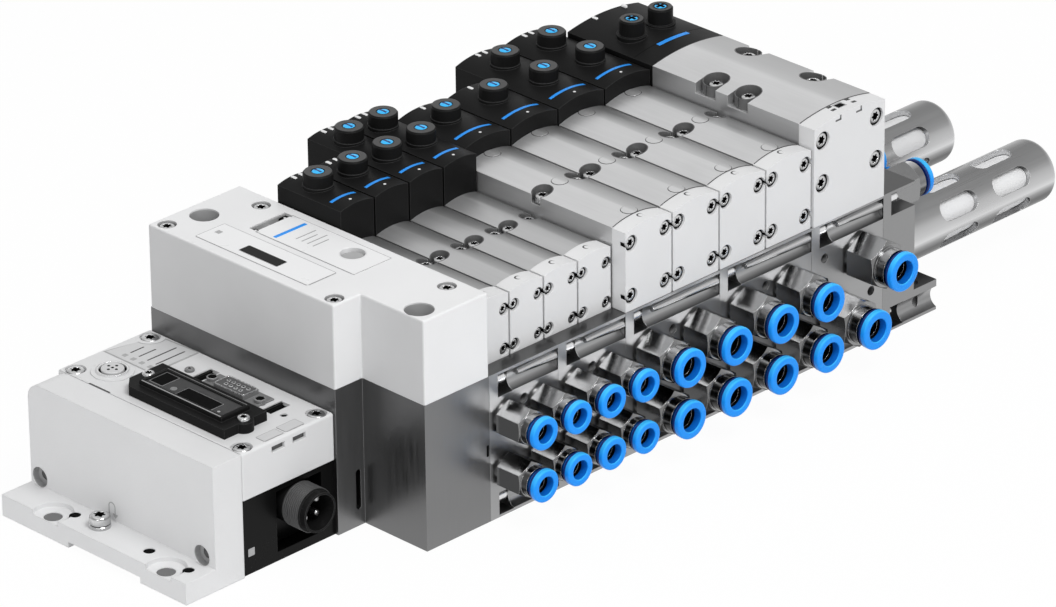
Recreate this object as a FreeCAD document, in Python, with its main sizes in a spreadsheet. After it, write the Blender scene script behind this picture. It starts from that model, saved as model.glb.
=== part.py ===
import FreeCAD, Part
import os
import re

# Pneumatic valve island: nine spool valves in three widths on a row of sub-bases,
# fed through an interface block with a bus module at its left end.
# X runs along the row towards the silencers, Y from the tube ports to the back, Z up.

SIZES = {
    # Valve widths and their pitch along the row
    "valve_18": 18.0,
    "pitch_18": 19.0,
    "valve_26": 26.0,
    "pitch_26": 27.0,
    "valve_42": 42.0,
    "pitch_42": 43.0,
    # Sub-bases
    "base_height": 63.7,
    "base_depth": 140.3,
    "base_gap": 0.1,
    "window_margin": 4.8,
    "window_length": 8.0,
    "window_depth": 8.0,
    "window_height": 9.8,
    "window_edge": 1.1,
    "groove_radius": 4.9,
    "groove_centre": 1.5,
    "pin_small": 1.15,
    "pin_large": 2.2,
    "pin_inset": 2.3,
    "pin_rise": 1.0,
    "pin_margin": 17.3,
    "duct_radius": 9.0,
    "supply_radius": 8.0,
    "supply_inset": 56.0,
    "supply_height": 21.0,
    "blank_radius": 2.1,
    "blank_depth": 7.0,
    "blank_height": 47.4,
    "blank_near_42": 7.9,
    "blank_far_42": 36.0,
    "blank_low_42": 22.8,
    "rod_radius": 2.0,
    "rod_clearance": 0.2,
    "rod_inset": 5.8,
    "rod_back_inset": 12.3,
    "rod_grip": 14.0,
    "rod_seat": 10.0,
    # Interface block
    "interface_width": 49.5,
    "interface_front_width": 34.9,
    "interface_step": 34.7,
    "interface_height": 100.0,
    "interface_wall": 3.5,
    "edge_round": 0.8,
    "post_radius": 6.0,
    "post_wall": 2.5,
    "post_inset": 28.5,
    "post_front": 8.7,
    "post_back_inset": 10.0,
    "post_floor": 12.0,
    "mount_radius": 3.4,
    "label_hole_radius": 5.1,
    "label_hole_inset": 12.0,
    "label_hole_back": 62.8,
    "label_hole_depth": 24.0,
    "dip_window_inset": 4.8,
    "dip_window_width": 19.6,
    "dip_window_back": 104.2,
    "dip_window_length": 5.0,
    "dip_window_depth": 6.0,
    "slot_width": 2.6,
    "slot_length": 17.5,
    "slot_base": 7.3,
    "slot_inset": 2.0,
    "slot_depth": 4.0,
    "cover_screw_recess": 3.9,
    "cover_screw_sink": 3.6,
    "cover_screw_left": 5.1,
    "cover_screw_right": 6.8,
    "cover_screw_back": 5.6,
    "cover_screw_rear": 19.7,
    "cover_screw_near": 4.6,
    "cover_screw_front": 15.6,
    "boss_wall": 1.5,
    # Bus module
    "module_width": 49.4,
    "module_front": 35.5,
    "module_depth": 105.8,
    "module_height": 53.6,
    "module_wall": 2.5,
    "module_round": 1.2,
    "block_height": 33.3,
    "block_inset": 0.9,
    "nook_width": 24.0,
    "nook_margin": 3.0,
    "nook_depth": 7.0,
    "nook_floor": 4.0,
    "plug_radius": 9.0,
    "plug_rim_radius": 8.3,
    "plug_rim_length": 3.0,
    "plug_bore": 7.4,
    "plug_length": 19.0,
    "plug_floor": 6.0,
    "plug_height": 21.0,
    "plug_inset": 19.0,
    "plug_pin_radius": 1.0,
    "plug_pin_circle": 4.4,
    "plug_pin_length": 7.5,
    "plug_stub_radius": 6.0,
    "plug_stub_length": 6.0,
    "plug_clearance": 0.1,
    "socket_radius": 6.6,
    "socket_bore": 5.7,
    "socket_flange_radius": 8.7,
    "socket_flange": 0.6,
    "socket_lip": 1.4,
    "socket_insert": 4.7,
    "socket_depth": 10.0,
    "socket_floor": 2.0,
    "socket_pin_margin": 3.0,
    "socket_pin_circle": 2.6,
    "socket_pin_radius": 0.55,
    "socket_x": 35.9,
    "socket_y": 88.2,
    "data_x": 14.5,
    "data_y": 40.1,
    "data_width": 8.3,
    "data_length": 16.9,
    "data_height": 2.9,
    "data_flange": 0.7,
    "data_flange_width": 11.5,
    "data_flange_length": 31.0,
    "data_depth": 7.0,
    "data_post_radius": 2.3,
    "data_post_pitch": 27.3,
    "data_post_height": 2.2,
    "data_pin_pitch": 2.77,
    "data_row_gap": 2.84,
    "data_pin_radius": 0.55,
    "data_pin_depth": 2.0,
    "clip_slot_x": 7.2,
    "clip_slot_width": 10.6,
    "clip_slot_length": 5.5,
    "clip_slot_front": 17.0,
    "clip_slot_back": 57.3,
    "clip_slot_depth": 1.6,
    "led_hole_x": 14.9,
    "led_hole_y": 12.7,
    "led_hole_radius": 1.5,
    "vent_length": 6.9,
    "vent_height": 2.6,
    "vent_first": 16.0,
    "vent_second": 27.2,
    "vent_drop": 2.5,
    "module_screw_inset": 4.9,
    "module_screw_front": 4.9,
    "module_screw_back": 100.4,
    "module_screw_recess": 4.3,
    "module_screw_sink": 1.4,
    "switch_x": 22.6,
    "switch_width": 22.6,
    "switch_front": 13.9,
    "switch_length": 59.6,
    "switch_base_height": 4.2,
    "switch_corner": 5.0,
    "switch_ear_radius": 4.0,
    "switch_ear_front": 1.0,
    "switch_ear_back": 4.2,
    "switch_lens_side": 3.8,
    "switch_lens_front": 5.4,
    "switch_lens_back": 7.0,
    "switch_lens_height": 6.2,
    "switch_window_margin": 1.6,
    "switch_window_depth": 0.8,
    "switch_round": 0.6,
    # Left end plate
    "upright": 15.0,
    "foot_width": 15.7,
    "foot_height": 9.4,
    "plate_depth": 106.6,
    "plate_round": 7.0,
    "foot_hole_radius": 3.8,
    "foot_hole_inset": 4.1,
    "foot_hole_front": 15.6,
    "foot_hole_back": 81.0,
    "foot_pocket_radius": 8.3,
    "foot_pocket_depth": 2.1,
    "foot_tap_radius": 2.4,
    "foot_tap_inset": 8.6,
    "foot_tap_step": 7.9,
    "foot_tap_middle": 30.1,
    "ground_inset": 8.9,
    "ground_back": 58.8,
    "ground_tap_radius": 2.6,
    "relief_front": 26.2,
    "relief_length": 41.6,
    "relief_depth": 2.5,
    "bore_radius": 4.3,
    "bore_depth": 9.0,
    "bore_front": 7.7,
    "bore_back": 101.5,
    "bore_height": 12.9,
    # Right end plate
    "end_plate_width": 19.3,
    "lug_reach": 14.0,
    "lug_height": 13.9,
    "lug_depth": 12.0,
    "lug_hole_radius": 2.6,
    "lug_hole_inset": 5.4,
    "lug_hole_x": 4.6,
    # Valves
    "cap_front_18": 7.6,
    "cap_front_26": 0.3,
    "cap_front_42": -0.6,
    "cap_length_18": 7.9,
    "cap_length_26": 7.4,
    "cap_length_42": 8.5,
    "cap_edge_18": 27.2,
    "cap_edge_26": 34.8,
    "cap_edge_42": 43.6,
    "head_front_18": 82.5,
    "head_front_26": 90.5,
    "head_front_42": 89.9,
    "head_single_18": 36.2,
    "head_double_18": 59.0,
    "head_single_26": 39.0,
    "head_double_26": 59.8,
    "head_length_42": 49.0,
    "edge_18": 26.6,
    "edge_26": 35.0,
    "edge_42": 43.8,
    "rise_18": 1.4,
    "rise_26": 2.2,
    "rise_42": 2.4,
    "head_edge_18": 43.3,
    "head_edge_26": 42.1,
    "spool_bore_18": 3.6,
    "spool_bore_26": 6.3,
    "spool_bore_42": 11.0,
    "spool_height_18": 13.0,
    "spool_height_26": 17.0,
    "spool_height_42": 22.0,
    "spool_clearance": 0.05,
    "spool_neck": 0.55,
    "land_length": 5.0,
    "spool_end": 0.3,
    # Screws on the valves
    "body_screw_y": 50.0,
    "body_screw_inset_18": 3.3,
    "body_screw_inset_26": 3.7,
    "body_screw_inset_42": 6.5,
    "body_screw_near": 42.0,
    "body_screw_mid": 60.0,
    "body_screw_low": 33.3,
    "body_screw_high": 69.5,
    "body_head_18": 2.75,
    "body_head_26": 3.3,
    "body_head_42": 3.4,
    "body_pocket_18": 3.9,
    "body_pocket_26": 4.4,
    "body_pocket_42": 5.6,
    "body_sink_18": 2.9,
    "body_sink_26": 3.9,
    "body_sink_42": 4.6,
    "body_head_height_18": 2.6,
    "body_head_height_26": 3.3,
    "body_head_height_42": 4.2,
    "shank_18": 1.4,
    "shank_26": 1.9,
    "shank_42": 2.4,
    "shank_clearance": 0.3,
    "thread_depth": 7.0,
    "thread_clearance": 0.1,
    "cap_thread_depth": 5.0,
    "cap_screw_inset_18": 2.4,
    "cap_screw_inset_26": 3.3,
    "cap_screw_inset_42": 5.0,
    "cap_screw_low_18": 3.5,
    "cap_screw_high_18": 20.8,
    "cap_screw_low_26": 6.4,
    "cap_screw_high_26": 29.5,
    "cap_screw_low_42": 18.3,
    "cap_screw_high_42": 37.3,
    "cap_head_18": 2.15,
    "cap_head_26": 2.9,
    "cap_head_42": 3.5,
    "cap_head_clearance": 0.5,
    "cap_sink": 3.0,
    "cap_head_height": 2.2,
    "torx_share": 0.52,
    "torx_depth": 1.3,
    # Manual overrides on the pilot heads
    "button_18_first": 22.2,
    "button_18_second": 44.1,
    "button_26_single": 23.4,
    "button_26_first": 21.5,
    "button_26_second": 43.8,
    "button_42_y": 24.0,
    "button_42_offset": 8.5,
    "override_radius": 6.1,
    "override_radius_42": 5.3,
    "override_flange_radius": 6.4,
    "override_flange": 0.8,
    "override_height_18": 6.2,
    "override_height_26": 6.2,
    "override_height_42": 7.6,
    "override_bevel": 0.6,
    "override_bevel_inset": 0.5,
    "override_roof": 1.6,
    "button_radius": 2.5,
    "button_clearance": 0.07,
    "button_proud": 0.3,
    "button_collar_radius": 3.4,
    "button_collar": 1.0,
    "button_stem": 1.8,
    "button_stem_length": 1.0,
    "button_gap": 0.1,
    "button_travel": 1.5,
    "button_slot": 0.8,
    "button_slot_depth": 0.9,
    "button_bevel": 0.5,
    "chamber_radius": 3.7,
    "led_width": 1.5,
    "led_length": 3.2,
    "led_spacing": 3.9,
    "led_spacing_42": 17.4,
    "led_depth": 1.5,
    "led_inset": 0.2,
    "led_offset": 0.4,
    "led_offset_42": 2.2,
    # Push-in fittings
    "row_low": 19.7,
    "row_high": 42.6,
    "row_low_42": 21.0,
    "row_high_42": 41.7,
    "port_offset_42": 7.85,
    "reach_18": 21.7,
    "reach_26": 23.8,
    "reach_42": 24.7,
    "hex_flats_18": 14.0,
    "hex_flats_26": 17.0,
    "hex_flats_42": 19.0,
    "hex_end_18": 13.9,
    "hex_end_26": 14.6,
    "hex_end_42": 15.4,
    "hex_chamfer": 1.6,
    "hex_bevel_inset": 0.2,
    "collar": 1.2,
    "collar_inset": 0.6,
    "neck_18": 6.5,
    "neck_26": 7.75,
    "neck_42": 8.15,
    "stem_18": 4.8,
    "stem_26": 6.5,
    "stem_42": 8.2,
    "stem_length": 6.0,
    "port_run": 8.0,
    "stem_clearance": 0.1,
    "stem_bore": 2.4,
    "tube_18": 4.03,
    "tube_26": 5.03,
    "tube_42": 5.03,
    "sleeve_wall": 1.2,
    "sleeve_clearance": 0.07,
    "sleeve_length": 5.5,
    "tube_stop": 3.0,
    "ring_18": 6.9,
    "ring_26": 8.15,
    "ring_42": 8.5,
    "ring_thickness": 3.6,
    "ring_bevel": 0.8,
    "ring_travel": 1.0,
    "ring_gap": 0.3,
    "ring_rest_gap": 0.15,
    "end_fitting_height": 52.0,
    "end_fitting_near": 18.6,
    "end_fitting_far": 45.0,
    # Silencers
    "silencer_length": 103.8,
    "silencer_radius": 13.9,
    "silencer_wall": 2.3,
    "silencer_round": 4.0,
    "silencer_height": 25.9,
    "silencer_near": 25.5,
    "silencer_far": 82.4,
    "silencer_stem": 10.4,
    "silencer_stem_length": 10.0,
    "silencer_solid": 12.0,
    "silencer_bore_radius": 7.0,
    "window_pitch": 32.8,
    "window_first": 43.0,
    "slit_length": 22.5,
    "slit_width": 9.0,
    "insert_wall": 2.5,
    "insert_gap": 0.3,
    # Ground screw and module screws
    "washer_radius": 4.4,
    "washer": 1.4,
    "ground_head_radius": 4.2,
    "ground_head": 4.0,
    "module_head_radius": 3.8,
    "module_head_height": 1.4,
    "cover_head_radius": 3.5,
    "cover_head_height": 3.0,
    "switch_head_radius": 2.6,
    "switch_head": 1.6,
    "fastener_shank": 1.9,
    "small_shank": 1.2,
}

# Places along the row, worked out from the sizes. origin_x is the seam between the interface
# and the first sub-base, origin_y the front face of the sub-bases, in a frame whose origin is
# at the bottom centre of the whole part.
PLACES = {
    "row_18": "4 * pitch_18",
    "row_26": "4 * pitch_26",
    "left_reach": "interface_width + module_width + upright + foot_width",
    "right_reach": "row_end + end_plate_width + silencer_length",
    "row_end": "row_18 + row_26 + pitch_42",
    "origin_x": "(left_reach - right_reach) / 2",
    "origin_y": "(reach_42 - head_front_26 - head_double_26) / 2",
    "module_left": "-(interface_width + module_width)",
    "upright_left": "-(interface_width + module_width + upright)",
    "foot_left": "-left_reach",
    "module_back": "module_front + module_depth",
    "end_face": "row_end + end_plate_width",
    "window_floor": "base_height - window_edge - window_height",
    "rod_high": "base_height - window_edge - window_height / 2",
    "rod_low": "window_edge + window_height / 2",
}

WIDTHS = ("18", "26", "42")
LANDS = 5
SLITS = 6
FIRST_SLIT = 28.0
X_AXIS = FreeCAD.Vector(1, 0, 0)
Y_AXIS = FreeCAD.Vector(0, 1, 0)
Z_AXIS = FreeCAD.Vector(0, 0, 1)
ALONG = {
    "X": FreeCAD.Rotation(Y_AXIS, 90),
    "Y": FreeCAD.Rotation(X_AXIS, -90),
    "Z": FreeCAD.Rotation(),
    "-Y": FreeCAD.Rotation(X_AXIS, 90),
    "-Z": FreeCAD.Rotation(X_AXIS, 180),
}

doc = FreeCAD.newDocument("ValveIsland")
sheet = doc.addObject("Spreadsheet::Sheet", "sizes")
for row, (alias, value) in enumerate(SIZES.items(), start=1):
    sheet.set("A%d" % row, str(value))
    sheet.setAlias("A%d" % row, alias)
doc.recompute()

nodes = []


def formula(text):
    """Turns a formula in plain names into one that reads the sheet."""
    def word(match):
        name = match.group(0)
        if name in SIZES:
            return "sizes." + name
        if name in PLACES:
            return "(" + formula(PLACES[name]) + ")"
        return name
    return re.sub(r"[a-z][a-z0-9_]*", word, str(text))


def bind(item, values):
    for prop, text in values.items():
        item.setExpression(prop, formula(text))
    return item


def add(kind, name):
    return doc.addObject(kind, name)


def place(item, x, y, z, turn=None):
    """Puts a piece at a point given from the seam, the front face and the floor."""
    if turn is not None:
        item.Placement = FreeCAD.Placement(FreeCAD.Vector(), turn)
    return bind(item, {
        "Placement.Base.x": "origin_x + (%s)" % x,
        "Placement.Base.y": "origin_y + (%s)" % y,
        "Placement.Base.z": z,
    })


def box(name, x, y, z):
    """A block from pairs of low and high places."""
    item = bind(add("Part::Box", name), {
        "Length": "(%s) - (%s)" % (x[1], x[0]),
        "Width": "(%s) - (%s)" % (y[1], y[0]),
        "Height": "(%s) - (%s)" % (z[1], z[0]),
    })
    return place(item, x[0], y[0], z[0])


def cylinder(name, axis, x, y, z, radius, length):
    item = bind(add("Part::Cylinder", name), {"Radius": radius, "Height": length})
    return place(item, x, y, z, ALONG[axis])


def cone(name, axis, x, y, z, start, end, length):
    item = bind(add("Part::Cone", name), {"Radius1": start, "Radius2": end, "Height": length})
    return place(item, x, y, z, ALONG[axis])


def fuse(name, items):
    item = add("Part::MultiFuse", name)
    item.Shapes = items
    item.Refine = True
    return item


def cut(name, base, tools):
    item = add("Part::Cut", name)
    item.Base = base
    item.Tool = tools[0] if len(tools) == 1 else fuse(name + "_tools", tools)
    return item


def common(name, first, second):
    item = add("Part::Common", name)
    item.Base = first
    item.Tool = second
    return item


def group(name, items):
    item = add("Part::Compound", name)
    item.Links = items
    return item


def copy(name, source, x, y, z, turn=None):
    """A second one of a piece that was built at the frame's origin."""
    item = add("App::Link", name)
    item.LinkedObject = source
    return place(item, x, y, z, turn)


def node(item, label):
    item.Label = label
    nodes.append(item)
    return item


def at_origin(x="0", y="0", z="0"):
    """Offsets that cancel the row's own origin, for a piece that is copied into place."""
    return "(%s) - origin_x" % x, "(%s) - origin_y" % y, z


def round_cutter(name, axis, x, y, z, radius, length, side_u, side_v):
    """The waste outside a rounded edge. The point is the centre of the round."""
    reach = "2 * (%s)" % radius
    spans = {"u": ("0", reach) if side_u > 0 else ("-" + reach, "0"),
             "v": ("0", reach) if side_v > 0 else ("-" + reach, "0")}
    along = ("-1", "(%s) + 1" % length)
    order = {"X": (along, spans["u"], spans["v"]),
             "Y": (spans["u"], along, spans["v"]),
             "Z": (spans["u"], spans["v"], along)}[axis]
    block = box(name + "_block", *[tuple("(%s) + (%s)" % (centre, part) for part in pair)
                                   for centre, pair in zip((x, y, z), order)])
    starts = {"X": ("(%s) - 2" % x, y, z), "Y": (x, "(%s) - 2" % y, z), "Z": (x, y, "(%s) - 2" % z)}[axis]
    rod = cylinder(name + "_rod", axis, *starts, radius, "(%s) + 4" % length)
    return cut(name, block, [rod])


# The valves: one row entry per valve, from the left seam to the right
def valve_row():
    row = []
    for width, count, start in (("18", 4, "0"), ("26", 4, "row_18"), ("42", 1, "row_18 + row_26")):
        for index in range(count):
            double = width == "42" or index >= 2
            row.append({
                "width": width,
                "double": double,
                "left": "%s + %d * pitch_%s + (pitch_%s - valve_%s) / 2"
                        % (start, index, width, width, width),
                "centre": "%s + (%d + 0.5) * pitch_%s" % (start, index, width),
            })
    return row


VALVES = valve_row()


def of_width(width):
    return [valve for valve in VALVES if valve["width"] == width]


def head_edge(width):
    return "edge_42" if width == "42" else "head_edge_" + width


def head_length(valve):
    if valve["width"] == "42":
        return "head_length_42"
    return ("head_double_" if valve["double"] else "head_single_") + valve["width"]


def crown(width, edge):
    """Height of the top of an arched piece at its middle."""
    return "base_height + %s + rise_%s" % (edge, width)


def button_places(valve):
    """X and Y of each manual override of a valve."""
    width = valve["width"]
    front = "head_front_" + width
    if width == "42":
        return [("%s %s button_42_offset" % (valve["centre"], sign),
                 front + " + button_42_y") for sign in "-+"]
    if width == "26" and not valve["double"]:
        return [(valve["centre"], front + " + button_26_single")]
    rows = ("first", "second") if valve["double"] else ("first",)
    return [(valve["centre"], "%s + button_%s_%s" % (front, width, row)) for row in rows]


def body_screw_places(valve):
    width = valve["width"]
    inset = "body_screw_inset_" + width
    left = "%s + %s" % (valve["left"], inset)
    right = "%s + valve_%s - %s" % (valve["left"], width, inset)
    if width != "42":
        return [(left, "body_screw_y"), (right, "body_screw_y")]
    return [(left, "body_screw_near"), (left, "body_screw_mid"),
            (right, "body_screw_low"), (right, "body_screw_high")]


def cap_screw_places(valve):
    width = valve["width"]
    inset = "cap_screw_inset_" + width
    sides = ("%s + %s" % (valve["left"], inset), "%s + valve_%s - %s" % (valve["left"], width, inset))
    return [(side, "base_height + cap_screw_%s_%s" % (level, width))
            for side in sides for level in ("low", "high")]


def arched(name, valve, y, edge):
    """A block with the long arched top that all of a valve's pieces share."""
    width = valve["width"]
    span = "valve_" + width
    rise = "rise_" + width
    radius = "(pow(%s; 2) / (8 * %s) + %s / 2)" % (span, rise, rise)
    top = crown(width, edge)
    block = box(name + "_block", (valve["left"], "%s + %s" % (valve["left"], span)), y, ("base_height", top))
    arch = cylinder(name + "_arch", "Y", valve["centre"], "(%s) - 1" % y[0], "%s - %s" % (top, radius),
                    radius, "(%s) - (%s) + 2" % (y[1], y[0]))
    return common(name, block, arch)


def fillet(name, base, radius, pick):
    """Rounds the edges that pick accepts."""
    doc.recompute()
    item = add("Part::Fillet", name)
    item.Base = base
    item.Edges = [(index, radius, radius) for index, edge in enumerate(base.Shape.Edges, start=1)
                  if pick(edge.BoundBox)]
    return item


def upright_edge(bounds):
    """A straight edge that runs along Z."""
    return bounds.ZLength > 1 and bounds.XLength < 1e-3 and bounds.YLength < 1e-3


def torx_pocket(name, radius, top, depth):
    """The socket in a screw head, with its mouth at the given height at the frame's origin."""
    item = bind(add("Part::Prism", name), {"Circumradius": radius, "Height": depth})
    item.Polygon = 6
    return place(item, *at_origin(z="(%s) - (%s)" % (top, depth)))


def screw(name, head, head_height, shank, length):
    """A screw with its head's underside at the frame's origin and its shank below."""
    origin = at_origin()
    top = cylinder(name + "_head", "Z", *origin, head, head_height)
    stem = cylinder(name + "_shank", "Z", *at_origin(z="-(%s)" % length), shank, length)
    socket = torx_pocket(name + "_socket", "torx_share * (%s)" % head, head_height, "torx_depth")
    return cut(name, fuse(name + "_blank", [top, stem]), [socket])


# Sub-bases
def rods(name, x, length, radius):
    """Cylinders on the four tie rod axes."""
    return [cylinder("%s_%s_%s" % (name, level, side), "X", x, depth, "rod_" + level, radius, length)
            for level in ("high", "low")
            for side, depth in (("front", "rod_inset"), ("back", "base_depth - rod_back_inset"))]


def window(name, level, start, end):
    """A tool window to one tie rod, with the groove that leads to it from the right."""
    floor = {"high": "window_floor", "low": "window_edge"}[level]
    near = "%s + window_margin" % start
    opening = box("%s_%s_window" % (name, level), (near, near + " + window_length"), ("-1", "window_depth"),
                  (floor, floor + " + window_height"))
    groove = cylinder("%s_%s_groove" % (name, level), "X", near, "-groove_centre", "rod_" + level,
                      "groove_radius", "(%s) - (%s)" % (end, near))
    return [opening, groove]


def guide(name, level, start, end):
    """The tapered rod that lies in a window's groove."""
    near = "%s + pin_margin" % start
    return cone("%s_%s_guide" % (name, level), "X", near, "pin_inset", "rod_%s + pin_rise" % level,
                "pin_small", "pin_large", "(%s) - (%s)" % (end, near))


def ports(valve):
    """Fitting axes in a valve's slice of its sub-base: X and Z of each."""
    width = valve["width"]
    if width == "42":
        return [(valve["centre"] + " + port_offset_42", "row_high_42"),
                (valve["centre"] + " - port_offset_42", "row_low_42")]
    return [(valve["centre"], "row_high"), (valve["centre"], "row_low")]


def valve_threads(name, valve):
    """The threaded holes for a valve's body screws in the top of its sub-base."""
    return [cylinder("%s_thread_%d" % (name, index), "-Z", x, y, "base_height + 1",
                     "shank_%s + thread_clearance" % valve["width"], "thread_depth + 1")
            for index, (x, y) in enumerate(body_screw_places(valve))]


def sub_base(name, valves, start, end):
    low, high = "%s + base_gap / 2" % start, "%s - base_gap / 2" % end
    block = box(name + "_block", (low, high), ("0", "base_depth"), ("0", "base_height"))
    across = "(%s) - (%s) + 2" % (high, low)
    cuts = window(name, "high", start, high) + window(name, "low", start, high)
    guides = [guide(name, level, start, high) for level in ("high", "low")]
    rod_holes = rods(name + "_rod_hole", low + " - 1", across, "rod_radius + rod_clearance")
    for side in ("near", "far"):
        cuts.append(cylinder("%s_exhaust_%s" % (name, side), "X", low + " - 1", "silencer_" + side,
                             "silencer_height", "duct_radius", across))
    cuts.append(cylinder(name + "_supply", "X", low + " - 1", "supply_inset", "supply_height",
                         "supply_radius", across))
    for index, valve in enumerate(valves):
        width = valve["width"]
        cuts += valve_threads("%s_%d" % (name, index), valve)
        for port, (x, z) in enumerate(ports(valve)):
            cuts.append(cylinder("%s_port_%d_%d" % (name, index, port), "Y", x, "-1", z,
                                 "stem_%s + stem_clearance" % width, "stem_length + port_run + 1"))
    if valves[0]["width"] == "42":
        holes = [("%s + blank_near_42" % start, "blank_height"),
                 ("%s + blank_far_42" % start, "blank_low_42")]
    else:
        holes = [("(%s + %s) / 2" % (start, end), "blank_height")]
    for index, (x, z) in enumerate(holes):
        cuts.append(cylinder("%s_blank_%d" % (name, index), "Y", x, "-1", z, "blank_radius",
                             "blank_depth + 1"))
    solid = fuse(name + "_solid", [cut(name + "_cast", block, cuts)] + guides)
    return cut(name, solid, rod_holes)


def sub_bases():
    for width, start, word in (("18", "0", "small"), ("26", "row_18", "medium")):
        row = of_width(width)
        pieces = []
        for index in range(2):
            low = "%s + %d * pitch_%s" % (start, 2 * index, width)
            high = "%s + %d * pitch_%s" % (start, 2 * index + 2, width)
            pieces.append(sub_base("base_%s_%d" % (width, index), row[2 * index:2 * index + 2], low, high))
        node(group("bases_" + width, pieces), "sub_bases_" + word)
    node(sub_base("base_42", of_width("42"), "row_18 + row_26", "row_end"), "sub_base_large")


def right_end_plate():
    low, high = "row_end + base_gap / 2", "end_face"
    tip = "end_face + lug_reach"
    block = box("end_block", (low, high), ("0", "base_depth"), ("0", "base_height"))
    lug = box("lug_block", (high, tip), ("0", "lug_depth"), ("0", "lug_height"))
    recess = box("end_recess", ("row_end + window_margin", "end_face + 1"), ("-1", "window_depth"),
                 ("window_floor", "window_floor + window_height"))
    cuts = [recess] + window("end", "low", "row_end", tip + " + 1")
    cuts += rods("end_rod_hole", low + " - 1", "rod_seat + 1", "rod_radius + rod_clearance")
    cuts.append(cylinder("lug_hole", "Z", "end_face + lug_hole_x", "lug_hole_inset", "-1", "lug_hole_radius",
                         "lug_height + 2"))
    for side in ("near", "far"):
        cuts.append(cylinder("end_silencer_hole_" + side, "X", low + " - 1", "silencer_" + side,
                             "silencer_height", "silencer_stem + stem_clearance", "end_plate_width + 2"))
        cuts.append(cylinder("end_port_" + side, "X", "end_face - stem_length - port_run",
                             "end_fitting_" + side, "end_fitting_height", "stem_26 + stem_clearance",
                             "stem_length + port_run + 1"))
    node(cut("end_plate", fuse("end_blank", [block, lug]), cuts), "right_end_plate")


def tie_rods():
    start = "-rod_grip"
    length = "row_end + rod_grip + rod_seat - base_gap"
    node(group("rods", rods("rod", start, length, "rod_radius")), "tie_rods")


# Interface block
def interface_outline(name, z, inset="0"):
    """The stepped plan of the interface block between two heights."""
    wide = box(name + "_wide", ("-interface_width + (%s)" % inset, "-(%s)" % inset),
               ("interface_step + (%s)" % inset, "base_depth - (%s)" % inset), z)
    narrow = box(name + "_narrow", ("-interface_front_width + (%s)" % inset, "-(%s)" % inset),
                 (inset, "base_depth - (%s)" % inset), z)
    return fuse(name, [wide, narrow])


POSTS = (("front", "post_front"), ("back", "base_depth - post_back_inset"))


def cover_screw_places():
    """X and Y of the four screws in the interface cover."""
    left, right = "-interface_width + cover_screw_left", "-cover_screw_right"
    return [(left, "base_depth - cover_screw_back"), (right, "base_depth - cover_screw_rear"),
            (left, "interface_step + cover_screw_near"), (right, "cover_screw_front")]


def interface_base():
    block = interface_outline("interface_foot", ("0", "base_height"))
    cuts = []
    for side, y in POSTS:
        cuts.append(cylinder("foot_post_" + side, "Z", "-post_inset", y, "post_floor", "post_radius",
                             "base_height"))
        cuts.append(cylinder("foot_mount_" + side, "Z", "-post_inset", y, "-1", "mount_radius",
                             "post_floor + 2"))
    for index, (x, y) in enumerate(cover_screw_places()):
        cuts.append(cylinder("foot_thread_%d" % index, "-Z", x, y, "base_height + 1",
                             "fastener_shank + thread_clearance", "thread_depth + 1"))
    cuts += rods("foot_rod_hole", "-rod_grip - thread_clearance", "rod_grip + 1",
                 "rod_radius + rod_clearance")
    slot_right = "-interface_front_width - slot_inset"
    slot_left = slot_right + " - slot_width"
    slot_low = "slot_base + slot_width / 2"
    slot_high = "slot_base + slot_length - slot_width / 2"
    slot_y = "interface_step - 1"
    cuts.append(box("foot_slot", (slot_left, slot_right), (slot_y, "interface_step + slot_depth"),
                    (slot_low, slot_high)))
    for end, z in (("low", slot_low), ("high", slot_high)):
        cuts.append(cylinder("foot_slot_" + end, "Y", "%s - slot_width / 2" % slot_right, slot_y, z,
                             "slot_width / 2", "slot_depth + 1"))
    node(cut("interface_foot_cut", block, cuts), "interface_base")


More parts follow.
